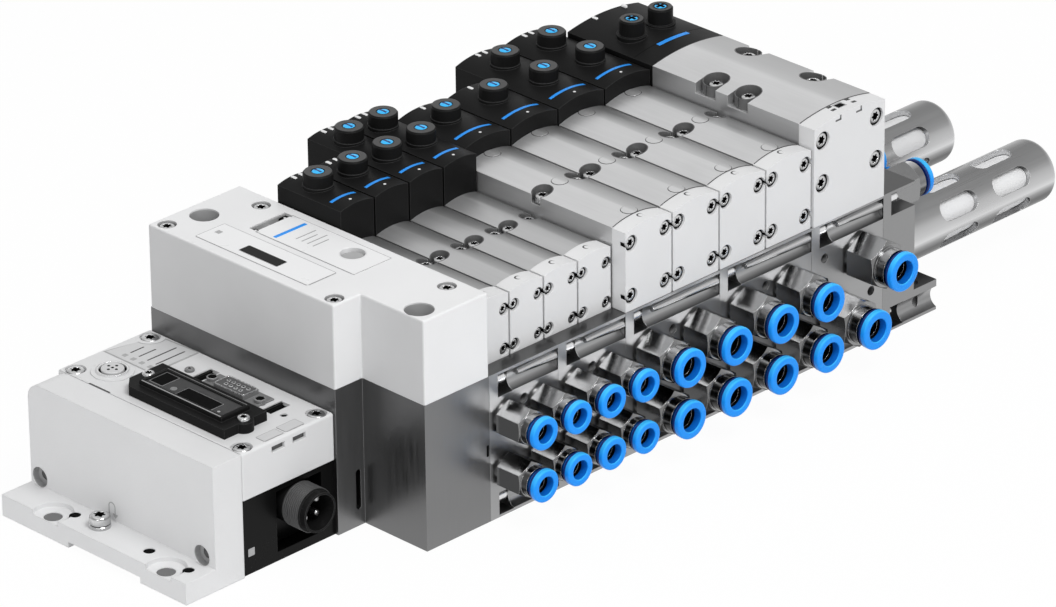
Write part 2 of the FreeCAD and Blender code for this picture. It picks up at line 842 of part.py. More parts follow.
def interface_cover():
    top = "interface_height"
    outer = interface_outline("cover_outer", ("base_height", top))
    rounded = fillet("cover_rounded", outer, SIZES["edge_round"],
                     lambda b: b.ZMin > SIZES["interface_height"] - 0.01 or upright_edge(b))
    hollow = interface_outline("cover_hollow", ("base_height - 1", top + " - interface_wall"),
                               "interface_wall")
    posts = [cylinder("cover_post_" + side, "Z", "-post_inset", y, "base_height", "post_radius + post_wall",
                      "%s - base_height - interface_wall" % top) for side, y in POSTS]
    bosses = [cylinder("cover_boss_%d" % index, "Z", x, y, "base_height", "cover_screw_recess + boss_wall",
                       "%s - base_height - interface_wall" % top)
              for index, (x, y) in enumerate(cover_screw_places())]
    bosses.append(cylinder("cover_port_boss", "-Z", "-label_hole_inset", "label_hole_back", top,
                           "label_hole_radius + boss_wall", "label_hole_depth + boss_wall"))
    window_left = "-dip_window_inset - dip_window_width"
    bosses.append(box("cover_window_boss", (window_left + " - boss_wall", "-dip_window_inset + boss_wall"),
                      ("dip_window_back - boss_wall", "dip_window_back + dip_window_length + boss_wall"),
                      (top + " - dip_window_depth - boss_wall", top + " - interface_wall")))
    shell = cut("cover_shell", rounded, [hollow])
    inner = common("cover_bosses", fuse("cover_boss_blank", bosses),
                   interface_outline("cover_limit", ("base_height", top + " - edge_round")))
    solid = fuse("cover_solid", [shell, inner])
    holes = [cylinder("cover_post_hole_" + side, "Z", "-post_inset", y, "base_height - 1", "post_radius", top)
             for side, y in POSTS]
    for index, (x, y) in enumerate(cover_screw_places()):
        holes.append(cylinder("cover_recess_%d" % index, "Z", x, y, top + " - cover_screw_sink",
                              "cover_screw_recess", "cover_screw_sink + 1"))
        holes.append(cylinder("cover_clear_%d" % index, "Z", x, y, "base_height - 1",
                              "fastener_shank + shank_clearance", "interface_height"))
    holes.append(cylinder("cover_port", "-Z", "-label_hole_inset", "label_hole_back", top + " + 1",
                          "label_hole_radius", "label_hole_depth + 1"))
    holes.append(box("cover_window", (window_left, "-dip_window_inset"),
                     ("dip_window_back", "dip_window_back + dip_window_length"),
                     (top + " - dip_window_depth", top + " + 1")))
    node(cut("cover_cut", solid, holes), "interface_cover")


# Bus module
def bus_interlink_block():
    left, right = "module_left", "-interface_width"
    block = box("block_body", (left, right), ("module_front + block_inset", "module_back"),
                ("0", "block_height"))
    plug_x = "-interface_width - plug_inset"
    nook = box("block_nook", (plug_x + " - nook_width / 2", plug_x + " + nook_width / 2"),
               ("module_front - 1", "module_front + block_inset + nook_depth"),
               ("nook_floor", "block_height - nook_margin"))
    bore = cylinder("block_plug_bore", "Y", plug_x, "module_front", "plug_height",
                    "plug_stub_radius + plug_clearance", "block_inset + nook_depth + plug_stub_length")
    cuts = [nook, bore]
    for index, (x, y) in enumerate(module_screw_places()):
        cuts.append(cylinder("block_thread_%d" % index, "-Z", x, y, "block_height + 1",
                             "fastener_shank + thread_clearance", "thread_depth + 1"))
    node(cut("block_cut", block, cuts), "bus_interlink_block")


def power_plug():
    x = "-interface_width - plug_inset"
    root = "module_front + block_inset + nook_depth"
    tip = root + " - plug_length"
    barrel = cylinder("plug_barrel", "Y", x, tip + " + plug_rim_length", "plug_height", "plug_radius",
                      "plug_length - plug_rim_length")
    rim = cylinder("plug_rim", "Y", x, tip, "plug_height", "plug_rim_radius", "plug_rim_length")
    stub = cylinder("plug_stub", "Y", x, root, "plug_height", "plug_stub_radius", "plug_stub_length")
    hollow = cylinder("plug_hollow", "Y", x, tip + " - 1", "plug_height", "plug_bore",
                      "plug_length - plug_floor + 1")
    pins = [cylinder("plug_pin_%d" % index, "-Y", x + " %s plug_pin_circle * %s" % ("+", across),
                     tip + " + plug_length - plug_floor", "plug_height + plug_pin_circle * %s" % up,
                     "plug_pin_radius", "plug_pin_length")
            for index, (across, up) in enumerate(circle_points(4, 45))]
    node(fuse("plug", [cut("plug_shell", fuse("plug_blank", [barrel, rim, stub]), [hollow])] + pins),
         "power_plug")


def circle_points(count, start):
    """Cosine and sine of evenly spaced angles, as words for a formula."""
    angles = [start + 360.0 * index / count for index in range(count)]
    return [("cos(%.3f deg)" % angle, "sin(%.3f deg)" % angle) for angle in angles]


def module_screw_places():
    """X and Y of the four screws through the bus module's cover."""
    return [(x, "module_front + " + y)
            for x in ("module_left + module_screw_inset", "-interface_width - module_screw_inset")
            for y in ("module_screw_front", "module_screw_back")]


def switch_screw_places():
    middle = "-interface_width - switch_x - switch_width / 2"
    front = "module_front + switch_front"
    return [(middle, front + " + switch_ear_front"), (middle, front + " + switch_length - switch_ear_back")]


def data_post_places():
    x, y = "-interface_width - data_x", "module_front + data_y"
    return [(x, "%s %s data_post_pitch / 2" % (y, sign)) for sign in "-+"]


def bus_module_cover():
    left, right = "module_left", "-interface_width"
    top = "module_height"
    outer = box("module_outer", (left, right), ("module_front", "module_back"), ("block_height", top))
    rounded = fillet("module_rounded", outer, SIZES["module_round"],
                     lambda b: b.ZMin > SIZES["module_height"] - 0.01 or upright_edge(b))
    hollow = box("module_hollow", (left + " + module_wall", right + " - module_wall"),
                 ("module_front + module_wall", "module_back - module_wall"),
                 ("block_height - 1", top + " - module_wall"))
    shell = cut("module_shell", rounded, [hollow])
    bosses = [cylinder("module_boss_%d" % index, "Z", x, y, "block_height", "module_screw_recess",
                       top + " - block_height - module_wall / 2")
              for index, (x, y) in enumerate(module_screw_places())]
    solid = fuse("module_solid", [shell] + bosses)
    holes = []
    for index, (x, y) in enumerate(module_screw_places()):
        holes.append(cylinder("module_recess_%d" % index, "-Z", x, y, top + " + 1", "module_screw_recess",
                              "module_screw_sink + 1"))
        holes.append(cylinder("module_clear_%d" % index, "Z", x, y, "block_height - 1",
                              "fastener_shank + shank_clearance", top))
    for index, (x, y) in enumerate(switch_screw_places() + data_post_places()):
        holes.append(cylinder("module_thread_%d" % index, "-Z", x, y, top + " + 1",
                              "small_shank + thread_clearance", "module_wall + 2"))
    holes.append(cylinder("module_socket_hole", "-Z", right + " - socket_x", "module_front + socket_y",
                          top + " + 1",
                          "socket_radius + plug_clearance", "module_wall + 2"))
    data_x, data_y = right + " - data_x", "module_front + data_y"
    holes.append(box("module_data_hole",
                     (data_x + " - data_width / 2 - plug_clearance",
                      data_x + " + data_width / 2 + plug_clearance"),
                     (data_y + " - data_length / 2 - plug_clearance",
                      data_y + " + data_length / 2 + plug_clearance"),
                     (top + " - module_wall - 1", top + " + 1")))
    slot_x = right + " - clip_slot_x"
    for side in ("front", "back"):
        near = "module_front + clip_slot_" + side
        holes.append(box("module_clip_slot_" + side, (slot_x + " - clip_slot_width", slot_x),
                         (near, near + " + clip_slot_length"), (top + " - clip_slot_depth", top + " + 1")))
    holes.append(cylinder("module_led_hole", "-Z", right + " - led_hole_x", "module_front + led_hole_y",
                          top + " + 1",
                          "led_hole_radius", "clip_slot_depth + 1"))
    for side in ("first", "second"):
        near = left + " + vent_" + side
        holes.append(box("module_vent_" + side, (near, near + " + vent_length"),
                         ("module_front - 1", "module_front + clip_slot_depth"),
                         (top + " - vent_drop - vent_height", top + " - vent_drop")))
    node(cut("module_cut", solid, holes), "bus_module_cover")


def switch_cover():
    """A flat cover with a raised lens, an ear round each screw and one corner cut off."""
    right = "-interface_width - switch_x"
    left = right + " - switch_width"
    front = "module_front + switch_front"
    back = front + " + switch_length"
    base = "module_height"
    plate = box("switch_plate", (left, right), (front, back), (base, base + " + switch_base_height"))
    lens_x = (left + " + switch_lens_side", right + " - switch_lens_side")
    lens_y = (front + " + switch_lens_front", back + " - switch_lens_back")
    lens = box("switch_lens", lens_x, lens_y, (base, base + " + switch_lens_height"))
    ears = [cylinder("switch_ear_%d" % index, "Z", x, y, base, "switch_ear_radius", "switch_base_height")
            for index, (x, y) in enumerate(switch_screw_places())]
    corner = bind(add("Part::Box", "switch_corner_waste"), {
        "Length": "switch_corner * sqrt(2)",
        "Width": "switch_corner * sqrt(2)",
        "Height": "switch_lens_height",
    })
    place(corner, left, back + " - switch_corner", base + " - 1", FreeCAD.Rotation(Z_AXIS, 45))
    rounded = fillet("switch_rounded", fuse("switch_blank", [plate, lens] + ears), SIZES["switch_round"],
                     lambda b: b.ZMin > SIZES["module_height"] + SIZES["switch_lens_height"] - 0.01)
    margin = "switch_window_margin"
    cuts = [box("switch_window", ("%s + %s" % (lens_x[0], margin), "%s - %s" % (lens_x[1], margin)),
                ("%s + %s" % (lens_y[0], margin), "%s - %s" % (lens_y[1], margin)),
                (base + " + switch_lens_height - switch_window_depth", base + " + switch_lens_height + 1"))]
    for index, (x, y) in enumerate(switch_screw_places()):
        cuts.append(cylinder("switch_hole_%d" % index, "Z", x, y, base + " - 1",
                             "small_shank + shank_clearance",
                             "switch_lens_height + 2"))
    node(cut("switch_cut", rounded, cuts + [corner]), "switch_cover")


def service_socket():
    x, y = "-interface_width - socket_x", "module_front + socket_y"
    top = "module_height"
    barrel = cylinder("service_barrel", "-Z", x, y, top, "socket_radius", "socket_depth + socket_floor")
    flange = cylinder("service_flange", "Z", x, y, top, "socket_flange_radius", "socket_flange")
    lip = cylinder("service_lip", "Z", x, y, top, "socket_radius", "socket_lip")
    hollow = cylinder("service_hollow", "-Z", x, y, top + " + socket_lip + 1", "socket_bore",
                      "socket_depth + socket_lip + 1")
    insert = cylinder("service_insert", "Z", x, y, top + " - socket_depth", "socket_insert",
                      "socket_depth / 2")
    pins = [cylinder("service_pin_%d" % index, "Z", "%s + socket_pin_circle * %s" % (x, across),
                     "%s + socket_pin_circle * %s" % (y, up), top + " - socket_depth / 2",
                     "socket_pin_radius",
                     "socket_depth / 2 - socket_pin_margin")
            for index, (across, up) in enumerate(circle_points(4, 0))]
    pins.append(cylinder("service_pin_middle", "Z", x, y, top + " - socket_depth / 2", "socket_pin_radius",
                         "socket_depth / 2 - socket_pin_margin"))
    shell = cut("service_shell", fuse("service_blank", [barrel, flange, lip]), [hollow])
    node(fuse("service", [shell, insert] + pins), "service_socket")


def data_socket():
    x, y = "-interface_width - data_x", "module_front + data_y"
    top = "module_height"
    shell = box("data_shell", (x + " - data_width / 2", x + " + data_width / 2"),
                (y + " - data_length / 2", y + " + data_length / 2"),
                (top + " - data_depth", top + " + data_height"))
    flange = box("data_flange_plate", (x + " - data_flange_width / 2", x + " + data_flange_width / 2"),
                 (y + " - data_flange_length / 2", y + " + data_flange_length / 2"),
                 (top, top + " + data_flange"))
    posts = [cylinder("data_post_%d" % index, "Z", post_x, post_y, top, "data_post_radius",
                      "data_post_height")
             for index, (post_x, post_y) in enumerate(data_post_places())]
    studs = [cylinder("data_stud_%d" % index, "-Z", post_x, post_y, top, "small_shank", "module_wall")
             for index, (post_x, post_y) in enumerate(data_post_places())]
    holes = [cylinder("data_tap_%d" % index, "-Z", post_x, post_y, top + " + data_post_height + 1",
                      "small_shank", "data_post_height")
             for index, (post_x, post_y) in enumerate(data_post_places())]
    rows = ((5, "+"), (4, "-"))
    for count, sign in rows:
        for index in range(count):
            step = "%s * data_pin_pitch" % (index - (count - 1) / 2)
            holes.append(cylinder("data_pin_%d_%d" % (count, index), "-Z",
                                  "%s %s data_row_gap / 2" % (x, sign),
                                  "%s + %s" % (y, step), top + " + data_height + 1", "data_pin_radius",
                                  "data_pin_depth + 1"))
    blank = fuse("data_blank", [shell, flange] + posts + studs)
    node(cut("data_cut", blank, holes), "data_socket")


def left_end_plate():
    left, right = "upright_left", "module_left"
    back = "module_front + plate_depth"
    upright = box("plate_upright", (left, right), ("module_front", back), ("0", "module_height"))
    foot = box("plate_foot", ("foot_left", left), ("module_front", back), ("0", "foot_height"))
    blank = fuse("plate_blank", [upright, foot])
    corner = round_cutter("plate_corner", "X", "foot_left - 1", back + " - plate_round",
                          "module_height - plate_round", "plate_round", "foot_width + upright + 2", 1, 1)
    cuts = [corner]
    hole_x = "foot_left + foot_hole_inset"
    for side in ("front", "back"):
        y = "module_front + foot_hole_" + side
        cuts.append(cylinder("plate_hole_" + side, "Z", hole_x, y, "-1", "foot_hole_radius",
                             "foot_height + 2"))
        cuts.append(cylinder("plate_pocket_" + side, "Z", hole_x, y, "foot_height - foot_pocket_depth",
                             "foot_pocket_radius", "foot_pocket_depth + 1"))
    tap_x = "foot_left + foot_tap_inset"
    taps = [("front", "module_front + foot_hole_front - foot_tap_step"),
            ("middle", "module_front + foot_tap_middle"),
            ("back", "module_front + foot_hole_back - foot_tap_step")]
    for word, y in taps:
        cuts.append(cylinder("plate_tap_" + word, "Z", tap_x, y, "-1", "foot_tap_radius", "foot_height + 2"))
    cuts.append(cylinder("plate_ground_tap", "Z", "foot_left + ground_inset", "module_front + ground_back",
                         "-1",
                         "ground_tap_radius", "foot_height + 2"))
    cuts.append(box("plate_relief", ("foot_left - 1", right + " + 1"),
                    ("module_front + relief_front", "module_front + relief_front + relief_length"),
                    ("-1", "relief_depth")))
    for side in ("front", "back"):
        cuts.append(cylinder("plate_bore_" + side, "X", left + " - 1", "module_front + bore_" + side,
                             "bore_height",
                             "bore_radius", "bore_depth + 1"))
    node(cut("plate_cut", blank, cuts), "left_end_plate")


# Valves
def valve_body(name, valve):
    width = valve["width"]
    edge = "edge_" + width
    front = "cap_front_%s + cap_length_%s" % (width, width)
    back = "head_front_" + width
    span = (front, back)
    blank = arched(name, valve, span, edge)
    length = "(%s) - (%s)" % (back, front)
    cuts = [cylinder(name + "_bore", "Y", valve["centre"], front + " - 1",
                     "base_height + spool_height_" + width,
                     "spool_bore_" + width, length + " + 2")]
    floor = "base_height + %s - body_sink_%s" % (edge, width)
    for index, (x, y) in enumerate(body_screw_places(valve)):
        cuts.append(cylinder("%s_pocket_%d" % (name, index), "Z", x, y, floor, "body_pocket_" + width, edge))
        cuts.append(cylinder("%s_clear_%d" % (name, index), "Z", x, y, "base_height - 1",
                             "shank_%s + shank_clearance" % width, edge + " + 1"))
        if width == "42":
            left, right = valve["left"] + " - 1", valve["left"] + " + valve_42 + 1"
            cuts.append(box("%s_notch_%d" % (name, index), (left, x) if index < 2 else (x, right),
                            ("(%s) - body_pocket_42" % y, "(%s) + body_pocket_42" % y),
                            (floor, floor + " + edge_42")))
    for index, (x, z) in enumerate(cap_screw_places(valve)):
        cuts.append(cylinder("%s_cap_thread_%d" % (name, index), "Y", x, front + " - 1", z,
                             "shank_%s + thread_clearance" % width, "cap_thread_depth + 1"))
    return cut(name + "_cut", blank, cuts)


def end_cap(name, valve):
    width = valve["width"]
    front = "cap_front_" + width
    blank = arched(name, valve, (front, "%s + cap_length_%s" % (front, width)), "cap_edge_" + width)
    cuts = []
    for index, (x, z) in enumerate(cap_screw_places(valve)):
        cuts.append(cylinder("%s_scoop_%d" % (name, index), "Y", x, front + " - 1", z,
                             "cap_head_%s + cap_head_clearance" % width, "cap_sink + 1"))
        cuts.append(cylinder("%s_clear_%d" % (name, index), "Y", x, front + " - 1", z,
                             "shank_%s + shank_clearance" % width, "cap_length_%s + 2" % width))
    return cut(name + "_cut", blank, cuts)


def pilot_head(name, valve):
    width = valve["width"]
    front, edge = "head_front_" + width, head_edge(width)
    back = "%s + %s" % (front, head_length(valve))
    top = crown(width, edge)
    blank = [arched(name, valve, (front, back), edge)]
    radius = "override_radius_42" if width == "42" else "override_radius"
    height = "override_height_" + width
    cuts = []
    for index, (x, y) in enumerate(button_places(valve)):
        label = "%s_override_%d" % (name, index)
        shoulder = "%s + %s - override_bevel" % (top, height)
        blank.append(cylinder(label + "_flange", "Z", x, y, top + " - rise_" + width,
                              "override_flange_radius",
                              "override_flange + rise_" + width))
        blank.append(cylinder(label + "_wall", "Z", x, y, top, radius, height + " - override_bevel"))
        blank.append(cone(label + "_bevel", "Z", x, y, shoulder, radius, radius + " - override_bevel_inset",
                          "override_bevel"))
        roof = "%s + %s - override_roof" % (top, height)
        cuts.append(cylinder(label + "_bore", "Z", x, y, roof + " - 1", "button_radius + button_clearance",
                             "override_roof + 2"))
        cuts.append(cylinder(label + "_chamber", "-Z", x, y, roof, "chamber_radius",
                             "button_gap + button_collar + button_stem_length + button_travel + button_gap"))
    lights = 1 if width == "26" and not valve["double"] else 2
    spread = "_42" if width == "42" else ""
    for index in range(lights):
        step = index - (lights - 1) / 2
        x = "%s + led_offset%s + (%s) * led_spacing%s" % (valve["centre"], spread, step, spread)
        cuts.append(box("%s_light_%d" % (name, index), (x + " - led_width / 2", x + " + led_width / 2"),
                        (back + " - led_inset - led_length", back + " - led_inset"),
                        (top + " - led_depth", top + " + 1")))
    return cut(name + "_cut", fuse(name + "_blank", blank), cuts)


def spool(name, valve):
    width = valve["width"]
    front = "cap_front_%s + cap_length_%s + spool_end" % (width, width)
    back = "head_front_%s - spool_end" % width
    axis = (valve["centre"], "base_height + spool_height_" + width)
    radius = "(spool_bore_%s - spool_clearance)" % width
    length = "(%s - (%s))" % (back, front)
    pieces = [cylinder(name + "_neck", "Y", axis[0], front, axis[1], radius + " * spool_neck", length)]
    for index in range(LANDS):
        y = "%s + %d * (%s - land_length) / %d" % (front, index, length, LANDS - 1)
        pieces.append(cylinder("%s_land_%d" % (name, index), "Y", axis[0], y, axis[1], radius, "land_length"))
    return fuse(name, pieces)


def valves():
    for width, word in zip(WIDTHS, ("small", "medium", "large")):
        row = of_width(width)
        shells = [valve_body("valve_%s_%d" % (width, index), valve) for index, valve in enumerate(row)]
        heads = [pilot_head("head_%s_%d" % (width, index), valve) for index, valve in enumerate(row)]
        if width == "42":
            node(shells[0], "valve_body_large")
            node(heads[0], "pilot_head_large")
        else:
            node(group("valves_" + width, shells), "valve_bodies_" + word)
            node(group("heads_" + width, heads), "pilot_heads_" + word)
    node(group("caps", [end_cap("cap_%d" % index, valve) for index, valve in enumerate(VALVES)]), "end_caps")
    node(group("spool_set", [spool("spool_%d" % index, valve) for index, valve in enumerate(VALVES)]),
         "spools")


# Manual overrides
def override_button(name, crossed):
    """A button with its top at the frame's origin: dome, retaining collar and stem."""
    shank = "override_roof + button_gap"
    dome = cone(name + "_dome", "Z", *at_origin(z="button_proud - button_bevel"), "button_radius",
                "button_radius - button_bevel", "button_bevel")
    rod = cylinder(name + "_rod", "-Z", *at_origin(z="button_proud - button_bevel"), "button_radius",
                   shank + " + button_proud - button_bevel")
    collar = cylinder(name + "_collar", "-Z", *at_origin(z="-(%s)" % shank), "button_collar_radius",
                      "button_collar")
    stem = cylinder(name + "_stem", "-Z", *at_origin(z="-(%s + button_collar)" % shank), "button_stem",
                    "button_stem_length")
    half, long_half = "button_slot / 2", "button_radius + 1"
    depth = ("button_proud - button_slot_depth", "button_proud + 1")
    slots = [box(name + "_slot", *at_box(("-(%s)" % long_half, long_half), ("-" + half, half), depth))]
    if crossed:
        slots.append(box(name + "_cross", *at_box(("-" + half, half), ("-(%s)" % long_half, long_half),
                                                  depth)))
    return cut(name, fuse(name + "_blank", [dome, rod, collar, stem]), slots)


def at_box(x, y, z):
    """Pairs of places for a block that is built at the frame's origin."""
    return tuple("%s - origin_x" % part for part in x), tuple("%s - origin_y" % part for part in y), z


def override_buttons():
    slotted = override_button("button_slotted", False)
    crossed = override_button("button_crossed", True)
    count = 0
    for index, valve in enumerate(VALVES, start=1):
        width = valve["width"]
        source = crossed if width == "42" else slotted
        top = "%s + override_height_%s" % (crown(width, head_edge(width)), width)
        for place_index, (x, y) in enumerate(button_places(valve), start=1):
            count += 1
            item = copy("override_%d" % count, source, x, y, top)
            node(item, "override_button_%d_%d" % (index, place_index))


# Push-in fittings: each is built at the frame's origin with its seat there, facing -Y
def fitting_body(width):
    name = "fitting_" + width
    neck_end = "(reach_%s - ring_thickness - ring_travel - ring_rest_gap)" % width
    flats = "(hex_flats_%s / 2)" % width
    corner = "(%s / cos(30 deg))" % flats
    origin = at_origin()
    stem = cylinder(name + "_stem", "Y", *origin, "stem_" + width, "stem_length")
    seal = cylinder(name + "_seal", "-Y", *origin, flats + " - collar_inset", "collar")
    prism = add("Part::Prism", name + "_hex")
    prism.Polygon = 6
    bind(prism, {"Circumradius": corner, "Height": "hex_end_%s - collar" % width})
    place(prism, *at_origin(y="-collar"), ALONG["-Y"] * FreeCAD.Rotation(Z_AXIS, 30))
    barrel = cylinder(name + "_barrel", "-Y", *at_origin(y="-collar"), corner + " + 1",
                      "hex_end_%s - collar - hex_chamfer" % width)
    bevel = cone(name + "_bevel", "-Y", *at_origin(y="-hex_end_%s + hex_chamfer" % width),
                 "%s + hex_chamfer / tan(30 deg) - hex_bevel_inset" % flats, flats + " - hex_bevel_inset",
                 "hex_chamfer")
    hexagon = common(name + "_nut", prism, fuse(name + "_turned", [barrel, bevel]))
    neck = cylinder(name + "_neck", "-Y", *origin, "neck_" + width, neck_end)
    bores = [
        cylinder(name + "_passage", "-Y", *at_origin(y="stem_length + 1"), "stem_bore",
                 neck_end + " + stem_length + 2"),
        cylinder(name + "_tube", "-Y", *at_origin(y="-tube_stop"), "tube_" + width, neck_end),
        cylinder(name + "_socket", "-Y", *at_origin(y="-(%s - sleeve_length - ring_travel)" % neck_end),
                 "tube_%s + sleeve_wall + sleeve_clearance" % width, neck_end),
    ]
    return cut(name, fuse(name + "_blank", [stem, seal, hexagon, neck]), bores)


def release_ring(width):
    name = "ring_proto_" + width
    outer = "ring_" + width
    face = "-reach_" + width
    inner_end = "reach_%s - ring_thickness - ring_travel - ring_rest_gap - sleeve_length + ring_gap" % width
    bevel = cone(name + "_bevel", "Y", *at_origin(y=face), outer + " - ring_bevel", outer, "ring_bevel")
    disc = cylinder(name + "_disc", "Y", *at_origin(y=face + " + ring_bevel"), outer,
                    "ring_thickness - ring_bevel")
    sleeve = cylinder(name + "_sleeve", "Y", *at_origin(y=face + " + ring_bevel"),
                      "tube_%s + sleeve_wall" % width,
                      "reach_%s - ring_bevel - (%s)" % (width, inner_end))
    bore = cylinder(name + "_bore", "Y", *at_origin(y=face + " - 1"), "tube_" + width, "reach_%s + 2" % width)
    return cut(name, fuse(name + "_blank", [bevel, disc, sleeve]), [bore])


def fitting_places():
    """Width, place and turn of each fitting: the front rows, then the pair on the end plate."""
    rows = []
    for index, valve in enumerate(VALVES, start=1):
        for port, (x, z) in zip(("upper", "lower"), ports(valve)):
            rows.append(("%s_%d" % (port, index), valve["width"], x, "0", z, FreeCAD.Rotation()))
    for side in ("near", "far"):
        rows.append(("end_" + side, "26", "end_face", "end_fitting_" + side, "end_fitting_height",
                     FreeCAD.Rotation(Z_AXIS, 90)))
    return rows


def fittings():
    shells = {width: fitting_body(width) for width in WIDTHS}
    rings = {width: release_ring(width) for width in WIDTHS}
    bodies = []
    for word, width, x, y, z, turn in fitting_places():
        bodies.append(copy("fitting_at_" + word, shells[width], x, y, z, turn))
        node(copy("ring_at_" + word, rings[width], x, y, z, turn), "release_ring_" + word)
    node(group("fitting_set", bodies), "fitting_bodies")


# Silencers: each is built at the frame's origin with its seat there, along X
def silencer_parts():
    origin = at_origin()
    outer = cylinder("silencer_outer", "X", *origin, "silencer_radius", "silencer_length")
    rounded = fillet("silencer_rounded", outer, SIZES["silencer_round"],
                     lambda b: b.XMin > SIZES["silencer_length"] - 0.01 and b.XLength < 0.01)
    stem = cylinder("silencer_plug", "X", *at_origin(x="-silencer_stem_length"), "silencer_stem",
                    "silencer_stem_length + silencer_solid / 2")
    hollow_length = "silencer_length - silencer_solid - silencer_wall"
    hollow_radius = "silencer_radius - silencer_wall"
    hollow = cylinder("silencer_hollow", "X", *at_origin(x="silencer_solid"), hollow_radius, hollow_length)
    bore = cylinder("silencer_bore", "X", *at_origin(x="-silencer_stem_length - 1"), "silencer_bore_radius",
                    "silencer_stem_length + silencer_solid + 2")
    slit = silencer_slit()
    slits = []
    for row in range(2):
        for index in range(SLITS):
            turn = FreeCAD.Rotation(X_AXIS, FIRST_SLIT + 360.0 * index / SLITS - 90)
            slits.append(copy("slit_%d_%d" % (row, index), slit,
                              *at_origin(x="window_first + %d * window_pitch" % row),
                              turn))
    shell = cut("silencer_shell", fuse("silencer_blank", [rounded, stem]), [hollow, bore] + slits)
    insert_outer = cylinder("insert_outer", "X", *at_origin(x="silencer_solid + insert_gap"),
                            hollow_radius + " - insert_gap", hollow_length + " - 2 * insert_gap")
    insert_inner = cylinder("insert_inner", "X", *at_origin(x="silencer_solid"),
                            hollow_radius + " - insert_gap - insert_wall", hollow_length + " - insert_wall")
    return shell, cut("insert_tube", insert_outer, [insert_inner])


def silencer_slit():
    """One slot with round ends, cut outwards from the silencer's axis along Z."""
    half = "(slit_length - slit_width) / 2"
    high = ("silencer_radius / 2", "silencer_radius + 1")
    bar = box("slit_bar", *at_box(("-" + half, half), ("-slit_width / 2", "slit_width / 2"), high))
    ends = [cylinder("slit_end_%s" % word, "Z", *at_origin(x=sign + half, z=high[0]), "slit_width / 2",
                     "silencer_radius / 2 + 1") for word, sign in (("near", "-"), ("far", ""))]
    return fuse("slit", [bar] + ends)


def silencers():
    shell, insert = silencer_parts()
    for source, label in ((shell, "silencer_bodies"), (insert, "silencer_inserts")):
        node(group(label + "_set", [copy("%s_%s" % (label, side), source, "end_face", "silencer_" + side,
                                         "silencer_height") for side in ("near", "far")]), label)


# Screws
def valve_screws():
    pieces = []
    for width in WIDTHS:
        body = screw("body_screw_" + width, "body_head_" + width, "body_head_height_" + width,
                     "shank_" + width,
                     "edge_%s - body_sink_%s + thread_depth" % (width, width))
        cap = screw("cap_screw_" + width, "cap_head_" + width, "cap_head_height", "shank_" + width,
                    "cap_length_%s - cap_sink + cap_thread_depth" % width)
        for index, valve in enumerate(of_width(width)):
            floor = "base_height + edge_%s - body_sink_%s" % (width, width)
            for number, (x, y) in enumerate(body_screw_places(valve)):
                pieces.append(copy("body_screw_%s_%d_%d" % (width, index, number), body, x, y, floor))
            for number, (x, z) in enumerate(cap_screw_places(valve)):
                pieces.append(copy("cap_screw_%s_%d_%d" % (width, index, number), cap, x,
                                   "cap_front_%s + cap_sink" % width, z, ALONG["-Y"]))
    return pieces


def module_screws():
    cover = screw("cover_screw", "cover_head_radius", "cover_head_height", "fastener_shank",
                  "interface_height - cover_screw_sink - base_height + thread_depth")
    pieces = [copy("cover_screw_%d" % index, cover, x, y, "interface_height - cover_screw_sink")
              for index, (x, y) in enumerate(cover_screw_places())]
    lid = screw("module_screw", "module_head_radius", "module_head_height", "fastener_shank",
                "module_height - module_screw_sink - block_height + thread_depth")
    pieces += [copy("module_screw_%d" % index, lid, x, y, "module_height - module_screw_sink")
               for index, (x, y) in enumerate(module_screw_places())]
    small = screw("switch_screw", "switch_head_radius", "switch_head", "small_shank",
                  "switch_base_height + module_wall")
    pieces += [copy("switch_screw_%d" % index, small, x, y, "module_height + switch_base_height")
               for index, (x, y) in enumerate(switch_screw_places())]
    return pieces


def ground_screw():
    x, y = "foot_left + ground_inset", "module_front + ground_back"
    washer = cylinder("ground_washer", "Z", x, y, "foot_height", "washer_radius", "washer")
    hole = cylinder("ground_washer_hole", "Z", x, y, "foot_height - 1", "fastener_shank + shank_clearance",
                    "washer + 2")
    head = screw("ground", "ground_head_radius", "ground_head", "fastener_shank",
                 "foot_height + washer - relief_depth")
    return [cut("ground_ring", washer, [hole]), copy("ground_screw", head, x, y, "foot_height + washer")]


def screws():
    node(group("screw_set", valve_screws() + module_screws() + ground_screw()), "screws")


def write_nodes():
    doc.recompute()
    for item in doc.Objects:
        if "Invalid" in item.State or "Error" in item.State:
            raise SystemExit("failed: %s %s" % (item.Name, item.State))
    os.makedirs("parts", exist_ok=True)
    for item in nodes:
        shape = Part.getShape(item)
        if shape.isNull() or not shape.isValid():
            raise SystemExit("not a valid shape: " + item.Label)
        shape.exportStep("parts/%s.step" % item.Label)


left_end_plate()
bus_interlink_block()
power_plug()
bus_module_cover()
switch_cover()
service_socket()
data_socket()
interface_base()
interface_cover()
sub_bases()
right_end_plate()
tie_rods()
valves()
override_buttons()
fittings()
silencers()
screws()
write_nodes()
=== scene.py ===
import math

import bmesh
import bpy
from mathutils import Euler, Matrix, Vector


